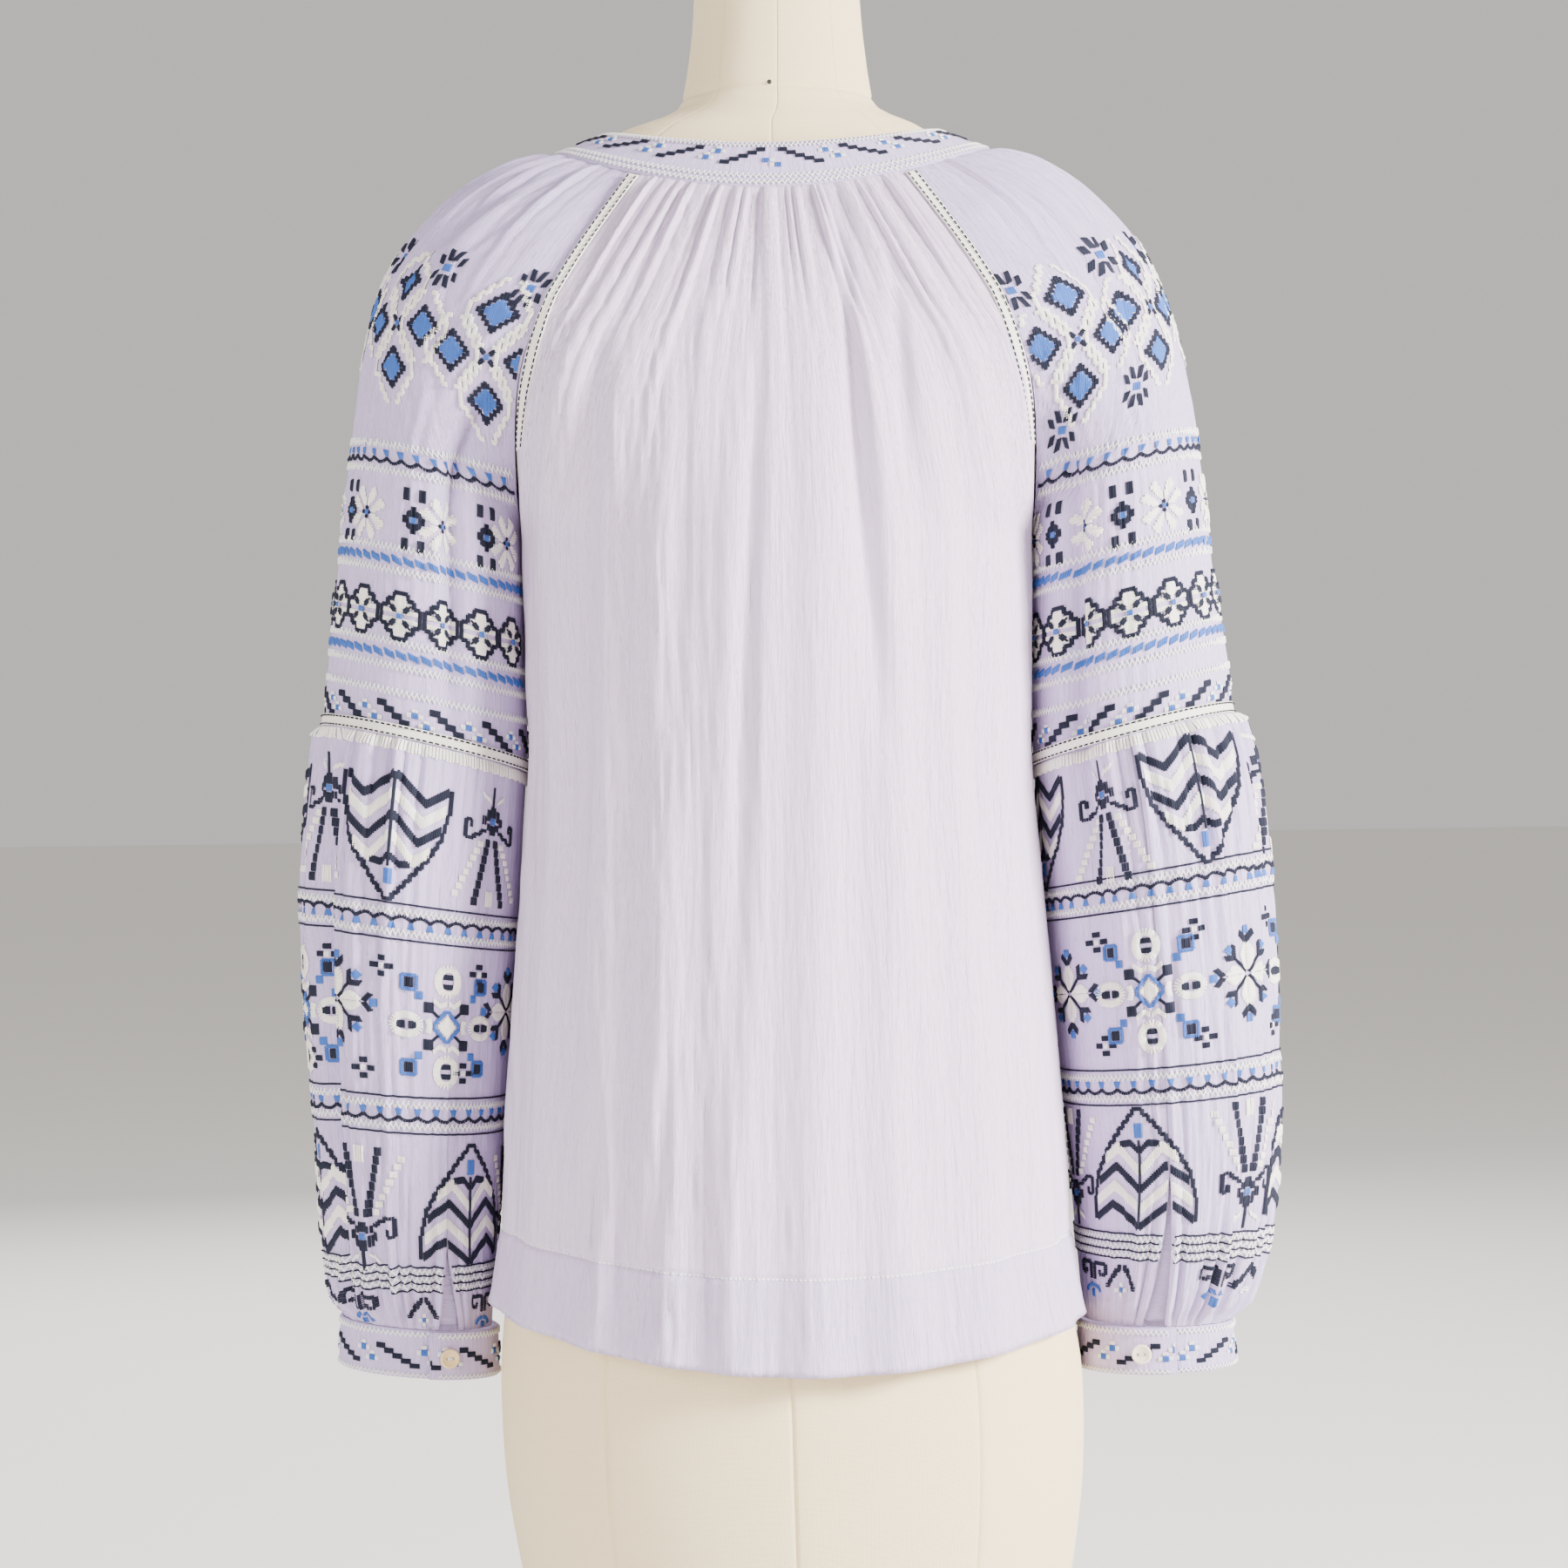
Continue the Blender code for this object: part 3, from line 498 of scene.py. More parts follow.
# Back and front panels
# One width of gauze each, drawn up under the band into about thirty gathers that run out into a few
# soft folds. The hem is turned up 45 mm and sewn with one line of stitches.
BACK_GATHERS, FRONT_GATHERS, FOLDS = 32, 30, 5
HEM_ROW, HEM_DEPTH = 20, 45.0
HEM_LINE = float(np.interp(HEM_DEPTH, (0, 17.5, 49.5), (20, 19, 18)))     # row of the hem's stitches
BACK_CREASES = [          # top x and z, bottom x and z, width and depth
    (95, 890, 127, 440, 9, 4.5), (5, 958, 30, 440, 7, 4.0), (-35, 958, -58, 640, 6, 4.5),
    (-64, 930, -74, 800, 5, 2.5), (-66, 545, -73, 350, 9, 2.2), (60, 500, 74, 330, 5, 2.0),
    (100, 470, 112, 335, 6, 2.2), (45, 900, 62, 600, 8, 2.0), (-100, 820, -112, 500, 8, 1.8),
    (88, 420, 96, 325, 4, 1.8), (20, 430, 24, 320, 4, 1.2), (-118, 460, -124, 340, 6, 1.6),
]
FRONT_CREASES = [
    (80, 870, 118, 430, 9, 4.0), (-6, 885, -20, 480, 8, 3.5), (38, 880, 52, 620, 6, 4.0),
    (-70, 880, -110, 450, 9, 4.2), (-40, 560, -52, 350, 7, 2.2), (70, 520, 84, 335, 6, 2.0),
]


def creased(creases, x, z):
    """Depth of the listed troughs at points of a panel."""
    total = 0
    for top_x, top_z, bottom_x, bottom_z, width, depth in creases:
        t = np.clip((top_z - z) / (top_z - bottom_z), 0, 1)
        middle = top_x + (bottom_x - top_x) * t
        spread = width * (0.7 + 0.6 * t)
        total = total + depth * np.sin(pi * t) ** 0.7 * np.exp(-((x - middle) / spread) ** 2)
    return total


def torso(face, s, w):
    """A gathered panel. Rows past the hem row turn up inside it."""
    v = np.where(w > HEM_ROW, 2 * HEM_ROW - w, w)
    base = partial(torso_base, face)
    normal = outward(base, s, v, face)
    flat = base(s, v)
    gathers, creases = (BACK_GATHERS, BACK_CREASES) if face > 0 else (FRONT_GATHERS, FRONT_CREASES)
    fine = np.interp(v, (0, 0.4, 1, 3, 6, 10, 20), (0.8, 4.2, 4.9, 3.9, 2.8, 1.8, 1.0))
    broad = np.interp(v, (1, 4, 9, 14, 20), (0.0, 1.4, 2.8, 3.6, 5.0))
    shifted = s + 0.010 * np.sin(9 * s + 2) + 0.006 * np.sin(23 * s + v * 0.4)
    height = fine * waves(gathers, shifted, v, 6.5)
    swayed = s + 0.03 * np.sin(0.25 * v + 5 * s) + 0.05 * np.sin(4 * s)
    height = height + broad * np.sin(pi * FOLDS * swayed) ** 2
    height = height - 1.55 * creased(creases, flat[..., 0], flat[..., 2]) + 1.2
    rough = np.interp(v, (0, 5, 14, 20), (0.2, 0.35, 0.5, 0.75))
    left = np.interp(flat[..., 0], (-40, 90), (0.7, 1.5))
    height = height + rough * left * crinkle(flat[..., 0] * 1.12, flat[..., 2], 11 if face > 0 else 12)
    height = height * near_edges(s, 0.0, 0.14)
    height = height - 1.3 * np.exp(-((v - HEM_LINE) / 0.045) ** 2) + 0.5 * (v > HEM_LINE)
    inside = np.clip((w - HEM_ROW) / 0.06, 0, 1) * 1.4
    return flat + normal * (height - inside)[..., None]


# The hem is doubled cloth, so it is a little deeper in colour
cloth_color = panel_shader.inputs["Base Color"].links[0].from_socket
cloth_row = node(panel_tree, "ShaderNodeAttribute", attribute_name="row")
in_hem = node(panel_tree, "ShaderNodeMath", {0: cloth_row.outputs["Fac"]}, operation="GREATER_THAN")
in_hem.inputs[1].default_value = HEM_LINE
hem_tint = node(panel_tree, "ShaderNodeMixRGB", {0: in_hem.outputs[0], 1: cloth_color}, blend_type="MULTIPLY")
hem_tint.inputs[2].default_value = (0.89, 0.88, 0.96, 1)
panel_tree.links.new(hem_tint.outputs[0], panel_shader.inputs["Base Color"])

for face, word, columns, step in ((1, "back", 241, 4.2), (-1, "front", 201, 5.0)):
    rows = evenly(partial(torso_base, face), 0.02, HEM_ROW, step)
    rows = np.unique(np.concatenate((rows, HEM_LINE + np.linspace(-0.12, 0.12, 7))))
    rows = np.concatenate((rows, HEM_ROW + np.array((0.02, 0.05, 0.1, 0.3, 0.9))))
    shell = laid_grid(word + "_gauze", np.linspace(-1, 1, columns), rows, partial(torso, face), panel_look)
    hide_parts(word + "_panel")


# Sleeves
# Each upper sleeve is a raglan cap that becomes a tube at the armpit. The lower one is fuller, drawn
# up under the elbow tape and again into the cuff, with an open slit at the back above the cuff.
CAP_GATHERS, ELBOW_GATHERS = 25, 36
SLIT_ANGLE = {1: -119.0, -1: -98.0}
SLIT_TOP = {1: 21, -1: 20}
SLIT_GAP = 12.5
ARM_CREASES = [           # side, angle, width, first and last row, depth
    (1, -40, 9, 14.3, 22.3, 15), (1, -110, 6, 3.0, 13.8, 11), (1, 75, 9, 14.6, 19.5, 8),
    (-1, -128, 6.5, 5.5, 18.0, 10), (-1, -60, 7, 1.5, 7.0, 5), (-1, 50, 9, 15.0, 20.5, 8),
    (-1, -34, 4.5, 0.3, 6.0, 4.5), (-1, -17, 4, 0.2, 4.6, 3.5), (-1, 12, 5, 0.4, 6.5, 4),
    (1, -37, 4.5, 0.3, 5.6, 4.5), (1, -20, 4, 0.2, 4.8, 3.5), (1, 9, 5, 0.4, 6.0, 4),
]


def arm_creased(side, s, turn, v):
    """Depth of the listed creases of a sleeve. On the cap they die out before its seams."""
    total = 0
    for crease_side, angle, width, first, last, depth in ARM_CREASES:
        if crease_side == side:
            reach = np.clip((v - first) / (last - first), 0, 1)
            total = total + depth * np.sin(pi * reach) ** 0.6 * np.exp(-((turn - angle) / width) ** 2)
    return total * np.where(v < ARMPIT, near_edges(s, 0.02, 0.16), 1)


def sleeve(side, s, v, s_gather=None):
    """Gathered sleeve. s_gather places the gathers of the lower part round from the slit."""
    base = partial(sleeve_base, side)
    normal = outward(base, s, v, side)
    flat = base(s, v)
    turn = along(SLEEVE_COLUMNS, SLEEVE, v).spread * s
    if s_gather is None:
        s_gather = ((turn - SLIT_ANGLE[side]) % 360) / 180 - 1
    cap = np.interp(v, (0, 0.4, 1, 3, 6, 10, 13), (0.8, 4.0, 4.8, 4.0, 3.0, 1.6, 0.0))
    cap = cap * waves(CAP_GATHERS, s + 0.012 * np.sin(9 * s + side), v, 5.5) * near_edges(s, 0.08, 0.12)
    full = np.interp(v, (14, 14.15, 14.6, 16, 18, 20, 21.5, 22.5, 23),
                     (0, 1.6, 7.4, 5.4, 2.4, 2.0, 6.2, 8.4, 1.0))
    free = np.minimum(1.0, 0.9 * (1 + np.cos(np.radians(turn))))
    full = full * waves(ELBOW_GATHERS, s_gather, 0 * v, 1, 0.35) * free
    height = np.where(v < ELBOW, cap, full) - arm_creased(side, s, turn, v)
    rough = np.interp(v, (0, 3, 9, 14, 14.1, 16, 22, 23), (0.3, 0.8, 0.8, 0.3, 0.6, 0.9, 1.0, 0.2))
    height = height + rough * crinkle(turn * 1.15, flat[..., 2], 20 + side) * np.minimum(free + 0.2, 1)
    return flat + normal * height[..., None]


def round_arm(turn):
    """Share -1 to 1 round an arm of an angle in degrees."""
    return ((turn + 180) % 360 - 180) / 180


def lower_surface(side):
    """The lower sleeve round from its slit, whose edges part towards the cuff."""
    def surface(g, v):
        s = round_arm(SLIT_ANGLE[side] + 180 * (g + 1))
        place = sleeve(side, s, v, g)
        aside = unit(sleeve_base(side, s + 0.01, v) - sleeve_base(side, s, v))
        gap = SLIT_GAP / 2 * np.clip((v - SLIT_TOP[side]) / (CUFF_TOP - SLIT_TOP[side]), 0, 1)
        near = np.exp(-((1 - np.abs(g)) / 0.09) ** 2)
        return place - aside * (np.sign(g) * gap * near)[..., None]
    return surface


for side, word in ((1, "left"), (-1, "right")):
    tubes = (("upper", 0.02, ELBOW - 0.01, 201, partial(sleeve, side)),
             ("lower", ELBOW + 0.01, CUFF_TOP - 0.01, 321, lower_surface(side)))
    for part, first, last, columns, surface in tubes:
        rows = evenly(partial(sleeve_base, side), first, last, 3.4, -0.3)
        shell = laid_grid("%s_gauze_%s" % (part, word), np.linspace(-1, 1, columns), rows, surface,
                          gauze_look, closed=part == "lower")
        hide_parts("sleeve_%s_%s" % (part, word))


# Embroidery of the sleeves
# Thick cotton thread in navy, cornflower blue and cream: satin bars, stepped outlines and feather
# stitches in level rows from shoulder to cuff, worked by hand over the gauze before it is sewn up.
NAVY, BLUE, CREAM, WHITE = "navy", "blue", "cream", "white"
THREAD = {NAVY: (0.008, 0.010, 0.026), BLUE: (0.045, 0.13, 0.45), CREAM: (0.93, 0.86, 0.80),
          WHITE: (0.95, 0.91, 0.89)}
THREAD_PITCH = 1.12
ROW_SLOPE = 0.24          # the upper sleeve's rows rise by this share towards the outer side

thread_looks = {}
for color_name, color in THREAD.items():
    look, tree, shader = new_look(color_name + "_thread", color, 0.65, 0.04)
    shader.inputs["Specular IOR Level"].default_value = 0.22
    strands = node(tree, "ShaderNodeTexWave", {"Vector": stretched_uv(tree, 1, 1)},
                   bands_direction="DIAGONAL", Scale=1.6, Distortion=0.6, Detail=1.0)
    patches = node(tree, "ShaderNodeTexNoise", Scale=260.0, Detail=2.0)
    mixed = added(tree, strands.outputs["Fac"], patches.outputs["Fac"])
    tint = tinted(tree, halved(tree, mixed), 0.15, 0.75, scaled(color, 0.66), scaled(color, 1.12))
    surfaced(tree, shader, strands.outputs["Fac"], 0.5, 0.0002, tint)
    thread_looks[color_name] = look


def thread(color, x0, y0, x1, y1, thick):
    """One stitch."""
    return [(color, np.array([(x0, y0, x1, y1, thick)]))]


def satin(color, path, width, toward=None, pitch=THREAD_PITCH):
    """Threads side by side along a path, each as long as the width, across the path or toward a way."""
    path = np.asarray(path, float)
    rows = []
    for start, end in zip(path, path[1:]):
        length = np.hypot(*(end - start))
        ahead = (end - start) / length
        across = np.array((-ahead[1], ahead[0])) if toward is None else np.array(toward, float)
        run = length if toward is None else abs(ahead[0] * across[1] - ahead[1] * across[0]) * length
        count = max(1, round(run / pitch))
        middle = start + (end - start) * ((np.arange(count) + 0.5) / count)[:, None]
        half = across * width / 2
        rows.append(np.hstack((middle - half, middle + half, np.full((count, 1), pitch * 1.12))))
    return [(color, np.concatenate(rows))]


def block(color, x, y, wide, high):
    """Small filled block of upright threads."""
    return satin(color, ((x - wide / 2, y), (x + wide / 2, y)), high, (0, 1))


def line(color, path, thick=0.9, stitch=2.6, full=1.12):
    """Running line of single stitches, each as long as the full share of its step."""
    path = np.asarray(path, float)
    rows = []
    for start, end in zip(path, path[1:]):
        count = max(1, round(np.hypot(*(end - start)) / stitch))
        t = np.linspace(0, 1, count + 1)[:, None]
        place = start + (end - start) * t
        stops = place[:-1] + (end - start) * full / count
        rows.append(np.hstack((place[:-1], stops, np.full((count, 1), thick))))
    return [(color, np.concatenate(rows))]


def stairs(x0, y0, x1, y1, count):
    """Corners of a stepped line that goes across first."""
    corners = [(x0, y0)]
    for k in range(1, count + 1):
        x, y = x0 + (x1 - x0) * k / count, y0 + (y1 - y0) * k / count
        corners += [(x, corners[-1][1]), (x, y)]
    return corners


def moved(stitches, dx=0.0, dy=0.0, flip_x=1, flip_y=1, turn=0.0):
    """Copy of stitches, mirrored, turned in degrees about their middle and moved."""
    c, s = np.cos(radians(turn)), np.sin(radians(turn))
    made = []
    for color, rows in stitches:
        rows = rows.copy()
        for k in (0, 2):
            x, y = rows[:, k] * flip_x, rows[:, k + 1] * flip_y
            rows[:, k], rows[:, k + 1] = x * c - y * s + dx, x * s + y * c + dy
        made.append((color, rows))
    return made


def both_ways(stitches):
    return stitches + moved(stitches, flip_x=-1)


def four_ways(stitches):
    return both_ways(stitches) + moved(both_ways(stitches), flip_y=-1)


def quarters(stitches):
    return sum((moved(stitches, turn=turn) for turn in (0, 90, 180, 270)), [])


def diamond_motif():
    """Blue diamond edged with stepped navy blocks, in a wider stepped cream outline."""
    made = []
    for k, half in enumerate((1.9, 4.3, 6.4, 8.2, 6.4, 4.3, 1.9)):
        made += block(BLUE, (k - 3) * 1.95, 0, 1.95, half * 2)
    for k in range(4):
        made += four_ways(block(NAVY, 1.3 + 2.35 * k, 9.3 - 2.45 * k, 2.6, 3.7))
    made += both_ways(block(NAVY, 10.2, 0, 2.2, 3.4))
    made += block(NAVY, 0, 10.8, 2.2, 3.0) + block(NAVY, 0, -10.8, 2.2, 3.0)
    made += four_ways(satin(CREAM, stairs(2.2, 19.5, 15.5, 0, 4), 2.6))
    return made


def small_cross():
    return quarters(satin(NAVY, ((1.6, 1.6), (4.6, 4.6)), 2.8)) + block(BLUE, 0, 0, 3.0, 3.0)


def butterfly():
    """Four pairs of thick navy bars round a blue middle."""
    made = four_ways(satin(NAVY, ((1.0, 7.4), (4.2, 8.2)), 7.0, (0.25, 1)))
    made += four_ways(satin(NAVY, ((5.0, 4.2), (8.2, 5.2)), 5.4, (0.25, 1)))
    return made + block(BLUE, 0, 0, 5.0, 4.4)


def flower():
    """Cream flower of eight leaning petals round a small navy cross."""
    bottom = (3.4, 4.2, 5.4, 6.8, 8.4, 10.0)
    top = (8.6, 11.4, 14.0, 15.0, 14.4, 12.6)
    petal = []
    for k in range(6):
        x = 1.2 + 1.35 * k
        petal += thread(CREAM, x, bottom[k], x, top[k], 1.35)
    made = quarters(both_ways(petal))
    made += quarters(block(NAVY, 0, 2.6, 2.2, 2.2))
    return made + block(BLUE, 0, 0, 2.6, 2.8)


def quatrefoil():
    """Navy stepped flower with a blue middle and two bars above and below."""
    made = []
    for x, low, high in ((0, 1.8, 7.8), (1.1, 1.8, 7.8), (2.2, 1.6, 5.4), (3.2, 0, 5.2), (4.2, 0, 4.6),
                         (5.2, 0, 2.2), (6.2, 0, 2.2)):
        made += four_ways(thread(NAVY, x, low, x, high, 1.15))
    made += block(BLUE, 0, 0, 3.6, 3.4)
    return made + four_ways(block(NAVY, 4.8, 14.2, 4.0, 7.2))


def rope_link():
    return satin(BLUE, ((-3.1, -0.9), (3.1, 0.9)), 4.0, (0.35, 1))


def octagon():
    """Stepped navy outline filled with cream, with four navy petals round a blue middle."""
    made = []
    for k in range(-10, 11):
        high = 11.4 if abs(k) < 4 else 7.6 if abs(k) < 7 else 3.8
        made += thread(CREAM, k, 1.2, k, high, 1.1) + thread(CREAM, k, -high, k, -1.2, 1.1)
    corner = ((0, 13), (4.2, 13), (4.2, 9.2), (8.2, 9.2), (8.2, 5.2), (11.8, 5.2), (11.8, 2.2), (13, 2.2))
    made += four_ways(satin(NAVY, corner, 2.5))
    made += satin(NAVY, ((-11.8, -2), (-11.8, 2)), 2.4) + satin(NAVY, ((11.8, -2), (11.8, 2)), 2.4)
    petal = [("navy_over", np.array([(x, 2.8 + abs(x), x, 9.6 - 2 * abs(x), 1.3)])) for x in (-1.0, 0, 1.0)]
    return made + moved(quarters(petal), turn=45) + block("blue_over", 0, 0, 3.0, 3.2)


def stair_motif():
    """Five navy dashes going up like stairs, and two blue squares edged with white."""
    made = []
    for k in range(5):
        made += block(NAVY, (k - 2) * 4.6, (k - 2) * 3.1, 6.2, 3.9)
    for x, y in ((-10.6, 2.4), (-17.4, -2.6)):
        made += block(BLUE, x, y, 3.6, 3.2)
        made += block(WHITE, x - 3.4, y, 2.6, 2.6) + block(WHITE, x + 3.4, y, 2.6, 2.6)
        made += block(WHITE, x, y + 2.7, 3.2, 1.8)
    return made


def shield():
    """Pointed shield with a vein and bars of navy and cream on both of its halves."""
    made = satin(NAVY, ((0, 35), (0, -17)), 1.7)
    edge = ((31.5, 31), (31.5, 17), (28, 1), (21, -12), (12, -24), (3, -35))
    outline = [edge[0], edge[1]]
    for (x0, y0), (x1, y1) in zip(edge[1:], edge[2:]):
        outline += stairs(x0, y0, x1, y1, round(np.hypot(x1 - x0, y1 - y0) / 5.5))[1:]
    outline += [(0, -35)]
    half = satin(NAVY, outline, 2.4)
    for color, y, middle, end in ((NAVY, 34, 17.5, 30), (CREAM, 23, 16, 29), (NAVY, 11.5, 14.5, 27.2),
                                  (CREAM, 0.5, 12.5, 21.5)):
        half += satin(color, ((0.9, y), (middle, y - 13.5), (end, y - 13.5 + (end - middle) * 0.75)),
                      5.4 if color == NAVY else 6.8, (0, 1))
    half += satin(NAVY, ((0.9, -11), (5, -15.5), (11.5, -14.5)), 4.2, (0, 1))
    return made + both_ways(half) + block(BLUE, 0, -22.5, 5.0, 8.6)


def anchor():
    """Navy head with a blue middle, curled arms and pairs of stepped navy and cream legs."""
    made = satin(NAVY, ((0, 7), (0, 19)), 1.6) + block(BLUE, 0, 0, 3.4, 3.6)
    half = block(NAVY, 0.9, 5, 1.9, 6) + block(NAVY, 3.2, 3, 2.2, 6.5) + block(NAVY, 5.4, 0, 2.4, 5)
    half += block(NAVY, 2.8, -3.4, 2.6, 4) + block(NAVY, 1.0, -5, 2.0, 5.5)
    arm = ((4, -6), (7, -6), (7, -8.5), (10, -8.5), (10, -11), (14.5, -11), (14.5, -1), (11.5, -1),
           (11.5, -5))
    half += satin(NAVY, arm, 2.0)
    for k in range(8):
        half += block(NAVY, 2.6 + 0.8 * k, -12.5 - 4.8 * k, 3.0, 4.6)
        half += block(CREAM, 6.6 + 1.6 * k, -13.5 - 4.2 * k, 3.0, 3.4)
    half += satin(CREAM, ((2.5, 11), (7, 14)), 3.4, (0.5, 1)) + block(CREAM, 1.2, -44, 2.4, 9)
    return moved(made + both_ways(half), flip_x=1.3, flip_y=1.06)


def star():
    """Diamond with four navy arrows, four blue frames and four cream ovals round it."""
    made = []
    for k in range(-4, 5):
        made += block(CREAM, k * 1.1, 0, 1.1, 2 * (6.4 - abs(k) * 1.25))
    made += four_ways(satin(BLUE, stairs(0, 8.6, 7.2, 0, 4), 1.9))
    corner = satin(NAVY, ((4.6, 5), (8.5, 8.5)), 1.8) + block(NAVY, 10.6, 10.6, 5.6, 6.2)
    corner += block(BLUE, 16.2, 17, 4.4, 4.6) + block(NAVY, 21.8, 24, 5.0, 5.6)
    frame_path = ((17.8, 20), (25.8, 20), (25.8, 28), (17.8, 28), (17.8, 20))
    made += four_ways(corner + satin(BLUE, frame_path, 2.0))
    turns = np.radians(np.arange(0, 361, 15))
    oval = np.stack((5.8 * np.sin(turns), 26 + 7.6 * np.cos(turns)), axis=1)
    upright = satin(CREAM, oval, 4.4) + block(NAVY, 0, 28.6, 6, 3.2) + block(NAVY, 0, 23, 6, 3.2)
    upright += both_ways(satin(CREAM, ((0.5, 13.5), (4, 11.5), (8, 15)), 3.2, (0, 1)))
    made += upright + moved(upright, flip_y=-1)
    oval = np.stack((23 + 7.6 * np.cos(turns), 5.4 * np.sin(turns)), axis=1)
    level = satin(CREAM, oval, 4.2) + block(NAVY, 19.6, 0, 4.6, 4.4) + block(NAVY, 26, 0, 4.6, 4.4)
    level += satin(CREAM, ((11, -4), (10, 0), (11, 4)), 3.2)
    return made + level + moved(level, flip_x=-1)


def plus():
    made = block(NAVY, 0, 4.4, 4.6, 3.2) + block(NAVY, 0, -4.4, 4.6, 3.2)
    made += block(NAVY, -4.5, 0, 4.8, 3.2) + block(NAVY, 4.5, 0, 4.8, 3.2)
    return made + block(WHITE, 0, 0, 2.8, 3.2)


def leafy_star():
    """Cream leaves and a navy cross in a ring of navy chevrons and blue squares."""
    leaf = []
    for k in range(9):
        y = 2.2 + 1.5 * k
        wide = (2.2, 3.6, 4.8, 5.4, 5.6, 5.2, 4.4, 3.2, 2.0)[k]
        leaf += both_ways(thread(CREAM, 0.2, y, wide, y + 3.0, 1.5))
    made = quarters(leaf) + quarters(satin(NAVY, ((1, 1), (10, 10)), 1.8))
    chevron = both_ways(satin(NAVY, ((0.4, 18.2), (5.0, 23.0)), 3.6, (-0.3, 1)))
    chevron += block(BLUE, 0, 24.4, 4.4, 4.6)
    return made + quarters(chevron) + moved(quarters(moved(chevron, dy=-4)), turn=45)


def hooks():
    """Pair of square hooks with a blue curl under them."""
    half = satin(NAVY, ((1.6, -3), (1.6, 6), (9, 6), (9, 0), (5.2, 0), (5.2, 2.6)), 2.2)
    half += satin(BLUE, ((0.6, -6), (4, -7.5), (5.5, -10)), 2.2) + block(BLUE, 0.5, -11, 2.0, 5)
    return moved(both_ways(half), flip_x=1.2, flip_y=1.15)


def roof():
    """Navy roof over a small flower."""
    made = both_ways(satin(NAVY, stairs(0.5, 5, 8.5, -5, 4), 2.8))
    made += block(BLUE, 0, -5.5, 2.4, 2.4)
    petals = moved(quarters(block(WHITE, 0, 2.6, 2.0, 2.2)), dy=-5.5)
    return moved(made + petals, flip_x=1.1, flip_y=1.35)


def feather(length, high=1.0):
    """Feather stitch: short slanting stitches that cross in a row."""
    x = np.arange(0, length - 3, 2.9)
    rising = np.stack((x, x * 0 - 2.2 * high, x + 2.0, x * 0 + 1.5 * high, x * 0 + 0.85), axis=1)
    falling = np.stack((x + 1.3, x * 0 + 2.3 * high, x + 3.2, x * 0 - 1.4 * high, x * 0 + 0.85), axis=1)
    return [(WHITE, rising), (WHITE, falling)]


def scallops(length, pitch, sag):
    """Navy line that hangs in small bows, with a blue tooth at each cusp on the side that it leaves."""
    count = int(length / pitch)
    t = np.arange(count * 8 + 1) / 8
    y = -sag * np.abs(np.sin(pi * t)) ** 0.8
    made = satin(NAVY, np.stack((t * pitch, y), axis=1), 2.0, pitch=1.1)
    side = 1 if sag > 0 else -1
    tooth = [(BLUE, np.array([(x * 0.35, side * 0.9, x, side * 4.6, 1.15)])) for x in (-1.6, -0.6, 0.6, 1.6)]
    return made + sum((moved(tooth, k * pitch) for k in range(count)), [])


def standing_shield():
    return moved(shield(), flip_y=-1)


def hanging_anchor():
    return moved(anchor(), flip_y=-1)


